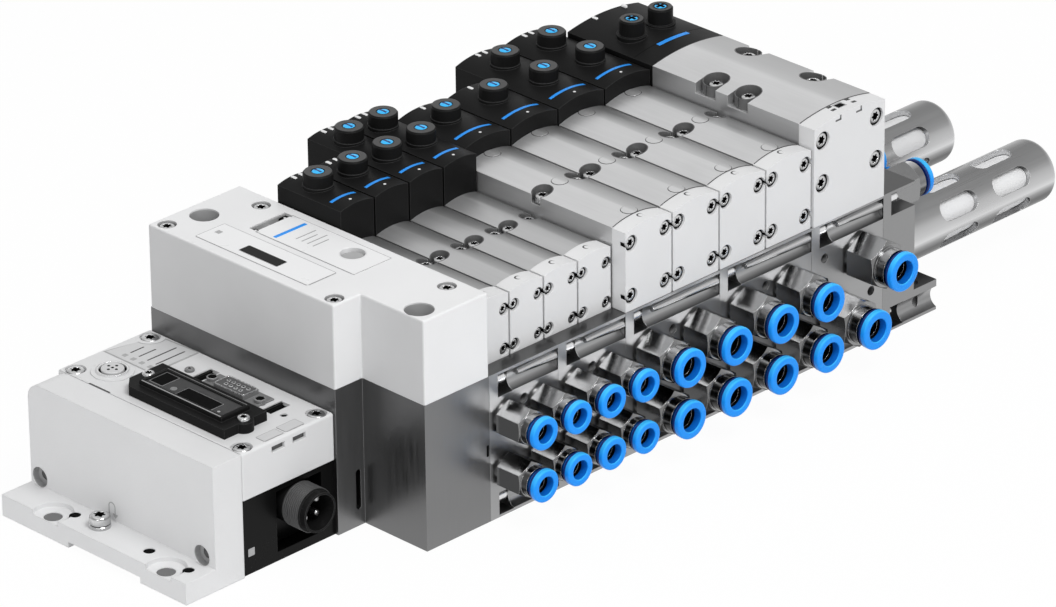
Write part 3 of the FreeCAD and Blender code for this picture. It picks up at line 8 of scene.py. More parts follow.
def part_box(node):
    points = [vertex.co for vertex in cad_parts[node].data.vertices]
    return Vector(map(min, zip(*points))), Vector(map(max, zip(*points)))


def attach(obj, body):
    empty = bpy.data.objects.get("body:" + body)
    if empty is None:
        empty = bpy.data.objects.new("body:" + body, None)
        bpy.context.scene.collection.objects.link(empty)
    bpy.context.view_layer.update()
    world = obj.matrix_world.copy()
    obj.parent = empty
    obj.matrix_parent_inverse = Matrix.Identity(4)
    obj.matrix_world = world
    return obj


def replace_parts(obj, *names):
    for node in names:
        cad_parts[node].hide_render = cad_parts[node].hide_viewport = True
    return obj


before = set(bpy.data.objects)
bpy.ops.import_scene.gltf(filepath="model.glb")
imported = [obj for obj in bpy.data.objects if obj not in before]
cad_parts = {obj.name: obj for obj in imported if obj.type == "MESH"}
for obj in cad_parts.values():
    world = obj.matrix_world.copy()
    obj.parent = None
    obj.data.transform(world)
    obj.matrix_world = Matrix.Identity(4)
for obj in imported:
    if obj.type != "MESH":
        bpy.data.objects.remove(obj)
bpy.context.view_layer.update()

# The CAD nodes of a pneumatic valve island get their materials here, and the small details that
# the photo shows are added as pieces in the same frame.

MM = 0.001

# The datum that every place below is measured from, in millimetres: the seam beside the
# interface block, the front of the sub-bases and the floor
SEAM = Vector((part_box("interface_base")[1].x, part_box("sub_bases_small")[0].y, 0.0))

# Valves along the row, in millimetres
SIZES = ("small", "medium", "large")
PITCH = {"small": 19.0, "medium": 27.0, "large": 43.0}
WIDTH = {"small": 18.0, "medium": 26.0, "large": 42.0}
START = {"small": 0.0, "medium": 76.0, "large": 184.0}
COUNT = {"small": 4, "medium": 4, "large": 1}
RISE = {"small": 1.4, "medium": 2.2, "large": 2.4}
CROWN = {
    "cap": {"small": 92.3, "medium": 100.7, "large": 109.7},
    "body": {"small": 91.7, "medium": 100.9, "large": 109.9},
    "head": {"small": 108.4, "medium": 108.0, "large": 109.9},
}
CAP_FRONT = {"small": 7.6, "medium": 0.3, "large": -0.6}
CAP_BACK = {"small": 15.5, "medium": 7.7, "large": 7.9}
HEAD_FRONT = {"small": 82.5, "medium": 90.5, "large": 89.9}
HEAD_SINGLE = {"small": 36.2, "medium": 39.0, "large": 49.0}
HEAD_DOUBLE = {"small": 59.0, "medium": 59.8, "large": 49.0}
ROW_END = 227.0
BASE_TOP = 63.7


def valves():
    """Size, X of the middle and whether it has two coils, valve by valve from the left."""
    for size in SIZES:
        for index in range(COUNT[size]):
            yield size, START[size] + (index + 0.5) * PITCH[size], index >= 2


def arch(part, size, offset=0.0):
    """Height of a valve's arched top at an offset from its middle."""
    rise = RISE[size]
    radius = WIDTH[size] ** 2 / (8.0 * rise) + rise / 2.0
    return CROWN[part][size] - radius + math.sqrt(radius ** 2 - offset ** 2)


def head_back(size, double):
    return HEAD_FRONT[size] + (HEAD_DOUBLE if double else HEAD_SINGLE)[size]


# Shader building

class Recipe:
    """A node tree that starts empty, with one way to add a node."""

    def __init__(self, tree):
        self.tree = tree
        tree.nodes.clear()

    def node(self, kind, settings=None, inputs=None, output=0):
        """Adds a node: its settings first, then the values or links of its sockets."""
        made = self.tree.nodes.new(kind)
        for name, value in (settings or {}).items():
            if name == "stops":
                self.set_stops(made.color_ramp, value)
            else:
                setattr(made, name, value)
        for name, value in (inputs or {}).items():
            self.feed(made.inputs[name], value)
        return made if output is None else Value(self, made.outputs[output])

    @staticmethod
    def set_stops(ramp, stops):
        while len(ramp.elements) < len(stops):
            ramp.elements.new(1.0)
        for element, (position, colour) in zip(ramp.elements, stops):
            element.position = position
            element.color = (*colour, 1.0)

    def feed(self, socket, value):
        if isinstance(value, Value):
            self.tree.links.new(value.socket, socket)
        elif socket.type == "RGBA" and len(value) == 3:
            socket.default_value = (*value, 1.0)
        else:
            socket.default_value = value

    def split(self, vector):
        """The three parts of a vector."""
        made = self.node("ShaderNodeSeparateXYZ", inputs={"Vector": vector}, output=None)
        return [Value(self, socket) for socket in made.outputs]

    def seen_directly(self):
        """1 for the camera and for what gloss and glass show, 0 for light that falls on surfaces."""
        path = self.node("ShaderNodeLightPath", output=None)
        kinds = ("Is Camera Ray", "Is Glossy Ray", "Is Transmission Ray")
        camera, gloss, through = (Value(self, path.outputs[kind]) for kind in kinds)
        return camera.most(gloss).most(through)


class Value:
    """A shader socket that adds and multiplies like a number."""

    def __init__(self, recipe, socket):
        self.recipe = recipe
        self.socket = socket

    def maths(self, operation, *others):
        numbered = dict(enumerate((self,) + others))
        return self.recipe.node("ShaderNodeMath", {"operation": operation}, numbered)

    def __add__(self, other):
        return self.maths("ADD", other)

    def __mul__(self, other):
        return self.maths("MULTIPLY", other)

    def __abs__(self):
        return self.maths("ABSOLUTE")

    __radd__ = __add__
    __rmul__ = __mul__

    def most(self, other):
        return self.maths("MAXIMUM", other)


class Finish(Recipe):
    """One material, with the shader pieces that this valve island's surfaces need."""

    def __init__(self, name):
        self.material = bpy.data.materials.new(name)
        self.material.use_nodes = True
        super().__init__(self.material.node_tree)
        self.shader = self.node("ShaderNodeBsdfPrincipled", output=None)
        self.output = self.node("ShaderNodeOutputMaterial", output=None)
        self.tree.links.new(self.shader.outputs[0], self.output.inputs["Surface"])
        self.place = self.node("ShaderNodeTexCoord", output="Object")
        self.facing = self.node("ShaderNodeNewGeometry", output="Normal")
        self.east, self.north, self.up = self.split(self.facing)

    def set(self, **inputs):
        for name, value in inputs.items():
            self.feed(self.shader.inputs[name.replace("_", " ")], value)

    def noise(self, scale, detail=3.0, stretch=(1.0, 1.0, 1.0)):
        """Noise with features of about 1 / scale metres, from 0 to 1."""
        place = self.node("ShaderNodeMapping", inputs={"Vector": self.place, "Scale": stretch})
        return self.node("ShaderNodeTexNoise", inputs={"Vector": place, "Scale": scale, "Detail": detail})

    def mix(self, amount, first, second):
        """A colour between two."""
        return self.node("ShaderNodeMix", {"data_type": "RGBA"},
                         {0: amount, 6: first, 7: second}, output=2)

    def tinted(self, colour, shade):
        """A colour darkened or lightened by another."""
        return self.node("ShaderNodeMix", {"data_type": "RGBA", "blend_type": "MULTIPLY"},
                         {0: 1.0, 6: colour, 7: shade}, output=2)

    def ramp(self, value, *stops):
        """Grey tones along a value from 0 to 1."""
        tones = [(position, (tone, tone, tone)) for position, tone in stops]
        return self.node("ShaderNodeValToRGB", {"stops": tones}, {"Fac": value})

    def range(self, value, low, high, to_low=0.0, to_high=1.0):
        """A value carried from one range to another, and held at its ends."""
        return self.node("ShaderNodeMapRange", inputs={"Value": value, "From Min": low, "From Max": high,
                                                       "To Min": to_low, "To Max": to_high})

    def rounded(self, edge):
        """The surface's direction with its edges rounded by a radius in millimetres."""
        return self.node("ShaderNodeBevel", {"samples": 6}, {"Radius": edge * MM})

    def edge_highlight(self, rounded, reach=0.25):
        """1 along the edges that the rounding reaches, where a highlight is painted, 0 on flats."""
        likeness = self.node("ShaderNodeVectorMath", {"operation": "DOT_PRODUCT"},
                             {0: rounded, 1: self.facing}, output="Value")
        return self.range(likeness, 1.0 - reach, 0.99, 1.0, 0.0)

    def relief(self, height, distance, rounded, strength=0.5):
        """Bump from a height in millimetres, over the rounded edges."""
        return self.node("ShaderNodeBump", inputs={"Height": height, "Distance": distance * MM,
                                                   "Strength": strength, "Normal": rounded})


def grey(tone):
    return (tone, tone * 1.003, tone * 1.01)


def scaled(colour, share):
    return tuple(min(part * share, 1.0) for part in colour)


def moulded(name, colour, grain=0.06, rough=0.42, spread=0.05, edge=0.35, shine=0.35, highlight_gain=1.15,
            size=2400.0, top=None, side=None):
    """
    A moulded or painted surface: fine grain, faint mottling and a painted highlight along its edges. top
    is its colour where it looks up, a painted light, and side its tone where it looks left, a painted
    shade.
    """
    finish = Finish(name)
    rounded = finish.rounded(edge)
    mottle = finish.noise(38.0, 4.0)
    fine = finish.noise(size, 2.0)
    body = finish.mix(mottle, scaled(colour, 1.0 - spread), scaled(colour, 1.0 + spread))
    if top:
        body = finish.mix(finish.range(finish.up, 0.1, 0.8), body, top)
    if side:
        body = finish.tinted(body, finish.ramp(finish.east * -1.0, (0.3, 1.0), (0.9, side)))
    finish.set(Base_Color=finish.mix(finish.edge_highlight(rounded), body, scaled(colour, highlight_gain)),
               Roughness=finish.range(mottle, 0.3, 0.7, rough - 0.05, rough + 0.06),
               Specular_IOR_Level=shine,
               Normal=finish.relief(fine, grain, rounded))
    return finish


def metal(name, colour, tones, rough=0.3, grain=(1.0, 1.0, 1.0), scratch=0.03, edge=0.3, spread=0.12,
          end_shade=1.0, metallic=1.0, highlight_gain=1.3, arched=None):
    """
    A machined or plated metal. tones give its painted light and shade, from faces that look down, at 0,
    through upright ones, at 0.5, to those that look up, at 1. end_shade is the share of its colour kept
    on faces that look left or right, a painted shade, and arched gives painted shade by how far a surface
    leans to the right. Its edges get a painted highlight.
    """
    finish = Finish(name)
    rounded = finish.rounded(edge)
    broad = finish.noise(20.0, 3.0)
    marks = finish.noise(850.0, 3.0, grain)
    uneven = broad * 0.55 + marks * 0.45
    body = finish.mix(uneven, scaled(colour, 1.0 - spread), scaled(colour, 1.0 + spread))
    body = finish.tinted(body, finish.ramp(finish.up * 0.5 + 0.5, *tones))
    if arched:
        body = finish.tinted(body, finish.ramp(finish.east, *arched))
    if end_shade < 1.0:
        ends = finish.range(abs(finish.east), 0.5, 0.95)
        body = finish.mix(ends * (1.0 - end_shade), body, grey(0.0))
    finish.set(Base_Color=finish.mix(finish.edge_highlight(rounded) * 0.6, body, scaled(colour, highlight_gain)),
               Metallic=metallic,
               Roughness=finish.range(uneven, 0.35, 0.65, rough - 0.06, rough + 0.08),
               Normal=finish.relief(marks, scratch, rounded, 0.6))
    return finish


# Painted light, shade and reflection of a metal by where its surface looks, from down, at 0, to up, at 1
EVEN_SHADING = ((0.0, 0.75), (0.5, 0.95), (1.0, 1.0))
MILLED_SHADING = ((0.0, 0.8), (0.2, 1.3), (0.44, 1.2), (0.49, 1.05), (0.51, 1.05), (0.6, 0.95), (0.75, 1.2),
          (0.9, 0.6), (0.98, 0.45))
ARCHED_SHADING = ((0.0, 0.5), (0.5, 0.75), (0.9, 0.85), (1.0, 1.0))
STREAK_SHADING = ((0.0, 0.05), (0.2, 0.1), (0.3, 0.2), (0.4, 0.6), (0.48, 1.25), (0.58, 1.0), (0.8, 0.75),
            (1.0, 0.55))
PLATED_SHADING = ((0.0, 0.02), (0.3, 0.03), (0.42, 0.06), (0.5, 0.45), (0.6, 0.3), (0.75, 0.4), (0.93, 0.5),
          (1.0, 1.1))
POLISHED_SHADING = ((0.0, 0.15), (0.4, 0.3), (0.55, 0.9), (0.75, 0.45), (1.0, 1.1))
GUIDE_SHADING = ((0.0, 0.1), (0.35, 0.2), (0.5, 0.6), (0.75, 1.0), (1.0, 0.9))
# Painted shade by how far a surface leans to the right
LEANING_SHADE = ((0.0, 1.0), (0.033, 0.8), (0.1, 0.67), (0.165, 0.6), (0.23, 0.52), (0.3, 0.38), (1.0, 0.8))

ALONG_X = (0.05, 1.0, 1.0)
ALONG_Y = (1.0, 0.05, 1.0)
ALONG_Z = (1.0, 1.0, 0.05)
ALONG_VALVE = (1.0, 0.04, 1.0)

# The rings' and buttons' own blue, a lighter blue of painted light for their faces that look up, a darker
# blue of painted shade for the rings' rims and the button slots, and a deep blue of painted shade inside
# the bores.
BLUE = (0.010, 0.31, 1.0)
LIT_BLUE = (0.05, 0.52, 1.0)
SHADE_BLUE = (0.006, 0.025, 0.16)
BORE_SHADE_BLUE = (0.004, 0.15, 0.60)

# The cover is darker where it looks left: painted shade.
white_cover = moulded("white_cover", grey(0.82), 0.03, 0.38, side=0.74)
cap_white = moulded("cap_white", grey(0.76), 0.02, 0.34)
cast_pale = moulded("cast_pale", grey(0.74), 0.14, 0.5, 0.04, 0.7, size=1300.0)
module_pale = moulded("module_pale", grey(0.72), 0.05, 0.45)
satin_black = moulded("satin_black", grey(0.010), 0.05, 0.42, 0.3, 0.4, 0.06, 6.0)
deep_black = moulded("deep_black", grey(0.004), 0.03, 0.5, 0.3, 0.4, 0.03, 3.0)
smoked = moulded("smoked", grey(0.035), 0.01, 0.12, 0.2, 0.3, 0.35, 3.0)
# Near-black for small black parts and dark seams, and for painted shade at the bottom of sockets, holes,
# slots and recesses.
black_and_recess_shade = moulded("black_and_recess_shade", grey(0.005), 0.02, 0.6, 0.2, 0.2, 0.02, 1.0)
base_metal = metal("base_metal", grey(0.34), MILLED_SHADING, 0.34, ALONG_X)
end_metal = metal("end_metal", grey(0.28), MILLED_SHADING, 0.34, ALONG_Y)
# The interface base's faces that look left or right are darkened to 0.8: painted shade.
interface_metal = metal("interface_metal", grey(0.21), MILLED_SHADING, 0.36, ALONG_Z, end_shade=0.8)
# The valve tops darken as they lean to the right: painted shade.
valve_metal = metal("valve_metal", grey(0.76), ARCHED_SHADING, 0.34, ALONG_VALVE, 0.02, metallic=0.7,
                    highlight_gain=1.15, arched=LEANING_SHADE)
# A darker copy for the small valves: painted shade.
valve_metal_shaded = metal("valve_metal_shaded", grey(0.62), ARCHED_SHADING, 0.34, ALONG_VALVE, 0.02, metallic=0.7,
                        arched=LEANING_SHADE)
nickel = metal("nickel", grey(0.62), PLATED_SHADING, 0.17, (1.0, 0.1, 1.0), 0.015, 0.2)
chrome = metal("chrome", grey(0.72), POLISHED_SHADING, 0.2, scratch=0.015, edge=0.15)
bright_steel = metal("bright_steel", grey(0.80), EVEN_SHADING, 0.24, scratch=0.01, edge=0.15)
silencer_metal = metal("silencer_metal", grey(0.55), STREAK_SHADING, 0.3, (0.03, 1.0, 1.0))
guide_metal = metal("guide_metal", grey(0.62), GUIDE_SHADING, 0.25, ALONG_X)
socket_metal = metal("socket_metal", grey(0.62), EVEN_SHADING, 0.3)
shell_grey = moulded("shell_grey", grey(0.20), 0.02, 0.35, highlight_gain=2.0)
ring_blue = moulded("ring_blue", BLUE, 0.02, 0.28, 0.04, 0.25, 0.2, 1.1, top=LIT_BLUE)
ring_blue_shade = moulded("ring_blue_shade", SHADE_BLUE, 0.02, 0.3, 0.1, 0.2, 0.3, 1.6)
ring_bore_shade = moulded("ring_bore_shade", BORE_SHADE_BLUE, 0.02, 0.35, 0.1, 0.1, 0.2)
porous_white = moulded("porous_white", grey(0.84), 0.3, 0.8, 0.04, 0.3, 0.1, 1.0, 1500.0)
lamp_white = moulded("lamp_white", grey(0.86), 0.01, 0.2)
print_grey = moulded("print_grey", grey(0.42), 0.004, 0.5)
print_dark = moulded("print_dark", grey(0.06), 0.004, 0.5)
print_blue = moulded("print_blue", (0.02, 0.30, 0.90), 0.004, 0.4)
label_white = moulded("label_white", grey(0.86), 0.006, 0.3, 0.02)
label_grey = moulded("label_grey", grey(0.62), 0.006, 0.35, 0.03)
mid_grey = moulded("mid_grey", grey(0.40), 0.02, 0.5)
dim_grey = moulded("dim_grey", grey(0.15), 0.02, 0.5)
shell_dark = moulded("shell_dark", grey(0.085), 0.02, 0.3, highlight_gain=2.0)
# A lighter black for the faces of the override housings: a painted sheen.
housing_sheen = moulded("housing_sheen", grey(0.045), 0.03, 0.35)
ridged = moulded("ridged", grey(0.055), 0.03, 0.4, highlight_gain=2.5)
# Grey for the painted shade on the walls of the pockets in the valve tops.
pocket_shade = moulded("pocket_shade", grey(0.12), 0.01, 0.4)
screen_black = moulded("screen_black", grey(0.003), 0.0, 0.3, shine=0.1, highlight_gain=2.0)

NODE_FINISH = {
    "left_end_plate": cast_pale,
    "bus_interlink_block": screen_black,
    "bus_module_cover": module_pale,
    "switch_cover": satin_black,
    "data_socket": shell_grey,
    "service_socket": module_pale,
    "power_plug": satin_black,
    "interface_base": interface_metal,
    "interface_cover": white_cover,
    "sub_bases_small": base_metal,
    "sub_bases_medium": base_metal,
    "sub_base_large": base_metal,
    "right_end_plate": end_metal,
    "tie_rods": chrome,
    "valve_bodies_small": valve_metal_shaded,
    "valve_bodies_medium": valve_metal,
    "valve_body_large": valve_metal,
    "pilot_heads_small": satin_black,
    "pilot_heads_medium": satin_black,
    "pilot_head_large": satin_black,
    "end_caps": cap_white,
    "spools": chrome,
    "fitting_bodies": nickel,
    "silencer_bodies": silencer_metal,
    "silencer_inserts": porous_white,
    "screws": chrome,
}


def dress_frame():
    for name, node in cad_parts.items():
        node.data.materials.clear()
        node.data.materials.append(NODE_FINISH.get(name, ring_blue).material)


# Mesh building, in millimetres

FRONT = Matrix.Rotation(math.radians(90), 4, "X")
LEFT = Matrix.Rotation(math.radians(-90), 4, "Y")
RIGHT = Matrix.Rotation(math.radians(90), 4, "Y")
FLAT = Matrix.Identity(4)
# Edges between faces that meet at more than this stay sharp
SHARP = math.radians(35)


def seat(point, turn=FLAT):
    """Carries a shape drawn in millimetres, with +Z as its outward side, to a point in metres."""
    return Matrix.Translation(point) @ turn @ Matrix.Scale(MM, 4)


def spot(x, y, z, turn=FLAT):
    """The same, for a place in millimetres from the datum."""
    return seat(SEAM + Vector((x, y, z)) * MM, turn)


def top_seat(low, high):
    """The same, for the middle of a box's top."""
    middle = (low + high) / 2
    return seat(Vector((middle.x, middle.y, high.z)))


def on_circle(place, radius, angle):
    """X and Y of a point on a circle round a place."""
    return place[0] + radius * math.cos(angle), place[1] + radius * math.sin(angle)


def nodes_named(start):
    """The CAD nodes whose names begin with a word, in order."""
    return [name for name in sorted(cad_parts) if name.startswith(start)]


def new_piece(name, build, finishes, body="island"):
    """Makes a mesh from a bmesh that build fills, and hangs it on a body."""
    mesh = bpy.data.meshes.new(name)
    shape = bmesh.new()
    build(shape)
    bmesh.ops.remove_doubles(shape, verts=shape.verts, dist=1e-7)
    bmesh.ops.recalc_face_normals(shape, faces=shape.faces)
    shape.to_mesh(mesh)
    shape.free()
    for finish in finishes:
        mesh.materials.append(finish.material)
    piece = bpy.data.objects.new(name, mesh)
    bpy.context.scene.collection.objects.link(piece)
    for face in mesh.polygons:
        face.use_smooth = True
    mesh.set_sharp_from_angle(angle=SHARP)
    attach(piece, body)
    return piece


def fixed_piece(name, finishes):
    """Turns a function that fills a bmesh into one that makes a piece of the island."""
    return lambda build: lambda: new_piece(name, build, finishes)


def bridge(shape, first, second, finish=0):
    """Faces between two rings of points, either of which can be one point."""
    count = max(len(first), len(second))
    for step in range(count):
        corners = []
        for ring, order in ((first, (step, step + 1)), (second, (step + 1, step))):
            for index in order:
                point = ring[index % len(ring)]
                if point not in corners:
                    corners.append(point)
        if len(corners) > 2:
            shape.faces.new(corners).material_index = finish


def ring_points(shape, outline, height, matrix):
    return [shape.verts.new(matrix @ Vector((*point, height))) for point in outline]


def turned(shape, profile, matrix, steps=64, closed=True):
    """Turns a profile of (radius, height, finish) about Z."""
    rings = []
    for radius, height, _ in profile:
        outline = circle(radius, steps) if radius > 1e-6 else [(0.0, 0.0)]
        rings.append(ring_points(shape, outline, height, matrix))
    pairs = list(zip(range(len(rings)), range(1, len(rings))))
    if closed:
        pairs.append((len(rings) - 1, 0))
    for first, second in pairs:
        bridge(shape, rings[first], rings[second], profile[first][2])


def corner_arc(centre, radius, start, end, finish, steps=5):
    """Profile points on an arc, angles in degrees."""
    turns = [math.radians(start + (end - start) * step / steps) for step in range(steps + 1)]
    return [(*on_circle(centre, radius, turn), finish) for turn in turns]


def disc(shape, radius, low, high, matrix, finish=0, bevel=0.0, steps=32):
    """A turned disc with a bevelled upper edge."""
    turned(shape, [(0, low, finish), (radius, low, finish), (radius, high - bevel, finish),
                   (radius - bevel, high, finish), (0, high, finish)], matrix, steps, closed=False)


def tube(shape, outer, inner, low, high, matrix, finish=0, soft=0.0, steps=48):
    turned(shape, [(inner, low, finish), (outer, low, finish), (outer, high - soft, finish),
                   (outer - soft, high, finish), (inner, high, finish)], matrix, steps)


def slab(shape, outline, low, high, matrix, bevel=0.0, finish=0):
    """A flat piece from an outline in X and Y, with its upper edge bevelled."""
    middle = sum((Vector(point) for point in outline), Vector((0, 0))) / len(outline)
    reach = max((Vector(point) - middle).length for point in outline)
    levels = [(low, 1.0), (high - bevel, 1.0)]
    if bevel:
        levels.append((high, 1.0 - bevel / reach))
    rings = [ring_points(shape, [middle + (Vector(point) - middle) * share for point in outline],
                         height, matrix) for height, share in levels]
    for first, second in zip(rings, rings[1:]):
        bridge(shape, first, second, finish)
    shape.faces.new(rings[-1]).material_index = finish
    shape.faces.new(list(reversed(rings[0]))).material_index = finish


def band(shape, outer, inner, low, high, matrix, finish=0):
    """A flat frame between two outlines with as many points each."""
    levels = ((inner, low), (outer, low), (outer, high), (inner, high))
    rings = [ring_points(shape, outline, height, matrix) for outline, height in levels]
    for first, second in zip(rings, rings[1:] + rings[:1]):
        bridge(shape, first, second, finish)


def rounded_rectangle(width, length, radius, steps=4):
    """Outline of a rectangle with round corners, about its middle."""
    points = []
    for corner, (side_x, side_y) in enumerate(((1, 1), (-1, 1), (-1, -1), (1, -1))):
        centre = (side_x * (width / 2 - radius), side_y * (length / 2 - radius))
        for step in range(steps + 1):
            angle = math.pi / 2 * (corner + step / steps)
            points.append(on_circle(centre, radius, angle))
    return points


def circle(radius, steps=40):
    return [(radius * math.cos(math.tau * step / steps), radius * math.sin(math.tau * step / steps))
            for step in range(steps)]


def tile(shape, x, y, z, height, finish=0, radius=0.4, bevel=0.0):
    """A thin tile that fills a pair of limits in X and one in Y, with its underside at z."""
    matrix = spot((x[0] + x[1]) / 2, (y[0] + y[1]) / 2, z)
    slab(shape, rounded_rectangle(x[1] - x[0], y[1] - y[0], radius), 0.0, height, matrix, bevel, finish)


def outline_frame(shape, x, y, z, line, height, finish=0, radius=0.6):
    """A thin printed line round a pair of limits in X and one in Y."""
    matrix = spot((x[0] + x[1]) / 2, (y[0] + y[1]) / 2, z)
    width, length = x[1] - x[0], y[1] - y[0]
    inner = rounded_rectangle(width - 2 * line, length - 2 * line, radius - line / 2)
    band(shape, rounded_rectangle(width, length, radius), inner, 0.0, height, matrix, finish)


def strip(shape, columns, finish=0):
    """A closed band through sections of four points each."""
    rings = [[shape.verts.new(point) for point in column] for column in columns]
    for first, second in zip(rings, rings[1:]):
        bridge(shape, first, second, finish)
    shape.faces.new(rings[0]).material_index = finish
    shape.faces.new(list(reversed(rings[-1]))).material_index = finish


def draped(shape, part, size, middle, limits, ends, lift, finish=0, steps=10):
    """
    A thin mark on a valve's arched top. limits are its offsets from the valve's middle, and
    ends gives where it starts and stops along Y at an offset.
    """
    columns = []
    sunk = 0.15
    for step in range(steps + 1):
        offset = limits[0] + (limits[1] - limits[0]) * step / steps
        level = arch(part, size, offset)
        start, stop = ends(offset)
        low, high = level - sunk, level + lift
        section = ((start, low), (start, high), (stop, high), (stop, low))
        columns.append([spot(middle + offset, y, z) @ Vector() for y, z in section])
    strip(shape, columns, finish)


def draped_bar(shape, part, size, middle, limits, along, lift, finish=0):
    """A straight mark across an arched top, with a pair of limits along Y."""
    draped(shape, part, size, middle, limits, lambda _: along, lift, finish)


def draped_disc(shape, part, size, middle, y, radius, lift, finish=0):
    """A round mark on an arched top."""
    slim = 0.02

    def ends(offset):
        half = math.sqrt(max(radius ** 2 - offset ** 2, 0.0)) + slim
        return y - half, y + half
    draped(shape, part, size, middle, (-radius, radius), ends, lift, finish, 20)


def stamped(shape, outline, x, lift):
    """A thin raised mark on a face that looks left, from an outline in Y and Z."""
    sunk = 0.02
    low, high = ([shape.verts.new(spot(level, *point) @ Vector()) for point in outline]
                 for level in (x + sunk, x - lift))
    bridge(shape, low, high)
    for cap in (high, low):
        shape.faces.new(cap)


def loose_parts(node):
    """The separate solids of a CAD node, each as its lowest and highest corner."""
    shape = bmesh.new()
    shape.from_mesh(node.data)
    bmesh.ops.remove_doubles(shape, verts=shape.verts, dist=1e-6)
    parts, seen = [], set()
    for start in shape.verts:
        if start in seen:
            continue
        seen.add(start)
        stack, points = [start], []
        while stack:
            point = stack.pop()
            points.append(point.co.copy())
            for edge in point.link_edges:
                other = edge.other_vert(point)
                if other not in seen:
                    seen.add(other)
                    stack.append(other)
        parts.append((Vector(min(point[axis] for point in points) for axis in range(3)),
                      Vector(max(point[axis] for point in points) for axis in range(3))))
    shape.free()
    return parts


# Release rings and fittings

# Bore of a release ring by its outer radius
RING_BORE = {6.9: 4.03, 8.15: 5.03, 8.5: 5.03}
RING_THICK = 3.6
# RING_BRIGHT is the depth of the ring's bright front, behind which its rim takes painted shade;
# BORE_BRIGHT the depth of the deep blue inside the bore, beyond which it is black.
RING_BRIGHT = 2.5
BORE_BRIGHT = 3.75
# Depths of the grip ring
GRIP = (5.1, 5.5)
SLEEVE_WALL = 1.2
SEAL_END = 16.0


def port_mouth(name):
    """Where a release ring's front face lies, its outward turn, its radius, its bore and its depth."""
    low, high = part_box(name)
    middle = (low + high) / 2
    outer = (high.z - low.z) / 2 / MM
    bore = RING_BORE[min(RING_BORE, key=lambda size: abs(size - outer))]
    if "_end_" in name:
        return Vector((high.x, middle.y, middle.z)), RIGHT, outer, bore, (high.x - low.x) / MM
    return Vector((middle.x, low.y, middle.z)), FRONT, outer, bore, (high.y - low.y) / MM


def release_ring(name):
    """The bright ring with its soft lip, its rim behind in a darker blue of painted shade, and the sleeve
    into the fitting.
    The bore is a deep blue of painted shade near the mouth, and black deeper in for the fitting's dark
    inside and the shade there.
    """
    point, turn, outer, bore, depth = port_mouth(name)
    sleeve = bore + SLEEVE_WALL
    edge, lip, groove = 0.8, 0.45, 0.18
    profile = [(bore, -depth, 3), (sleeve, -depth, 2), (sleeve, -RING_THICK, 1),
               (outer - 0.5, -RING_THICK, 1), (outer - 0.1, -RING_THICK + 0.4, 1),
               (outer - 0.1, -RING_BRIGHT - groove, 1),
               (outer - 0.35, -RING_BRIGHT, 0), (outer, -RING_BRIGHT + 0.3, 0)]
    profile += corner_arc((outer - edge, -edge), edge, 0, 90, 0)
    profile += corner_arc((bore + lip, -lip), lip, 90, 180, 0)
    profile[-1] = (*profile[-1][:2], 2)
    profile.append((bore, -BORE_BRIGHT, 3))
    ring = new_piece(name + "_lipped", lambda shape: turned(shape, profile, seat(point, turn), 72),
                     [ring_blue, ring_blue_shade, ring_bore_shade, deep_black], name)
    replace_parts(ring, name)


@fixed_piece("tube_seals", [deep_black, chrome])
def tube_seals(shape):
    """The dark seal and grip ring that show deep in every port."""
    wall, lip = 0.1, 1.3
    for name in nodes_named("release_ring"):
        point, turn, _, bore, depth = port_mouth(name)
        matrix = seat(point, turn)
        start = -depth - 1.2
        turned(shape, [(bore - wall, -SEAL_END, 0), (bore - wall, start, 0), (bore - 0.5, start, 0),
                       (bore - 0.5, start - 0.6, 0), (bore - lip, start - 1.6, 0),
                       (bore - lip, -SEAL_END, 0)], matrix, 40)
        disc(shape, bore - lip, -SEAL_END - 0.2, -SEAL_END, matrix)
        tube(shape, bore - 0.06, bore - 0.35, -GRIP[1], -GRIP[0], matrix, 1)


# Override buttons

BUTTON_RADIUS = 2.5
BUTTON_PROUD = 0.3
BUTTON_SLOT = ((0.9, 3.8),)
BUTTON_CROSS = ((1.3, 4.2), (4.2, 1.3))
LARGE_VALVE_BUTTON = "override_button_9"
# Radii of a housing's face and of the gap round its button
HOUSING = (5.55, 2.95)
HOUSING_LARGE = (4.75, 3.3)


def override_button(name):
    """The blue slotted dome that replaces the plain button."""
    low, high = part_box(name)
    collar = (high.x - low.x) / 2 / MM
    bottom = (low.z - high.z) / MM
    crown, stem, stem_length = 0.45, 1.8, 1.0
    matrix = top_seat(low, high)
    profile = [(0, bottom, 0), (stem, bottom, 0), (stem, bottom + stem_length, 0),
               (collar, bottom + stem_length, 0), (collar, bottom + 2 * stem_length, 0),
               (BUTTON_RADIUS, bottom + 2 * stem_length, 0), (BUTTON_RADIUS, -crown, 0)]
    profile += [(BUTTON_RADIUS * math.cos(math.radians(angle)),
                 -crown + crown * math.sin(math.radians(angle)), 0) for angle in (15, 30, 45, 60, 75)]
    profile.append((0, 0, 0))
    crossed = name.startswith(LARGE_VALVE_BUTTON)
    slots = BUTTON_CROSS if crossed else BUTTON_SLOT

    def build(shape):
        turned(shape, profile, matrix, 40, closed=False)
        # Each slot is a flat mark in a darker blue, and in black on the large valve's cross: painted
        # shade where the slot is.
        for width, length in slots:
            slab(shape, rounded_rectangle(width, length, 0.2), -0.4, 0.015, matrix, finish=1)
    finishes = [ring_blue, deep_black if crossed else ring_blue_shade]
    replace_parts(new_piece(name + "_dome", build, finishes, name), name)


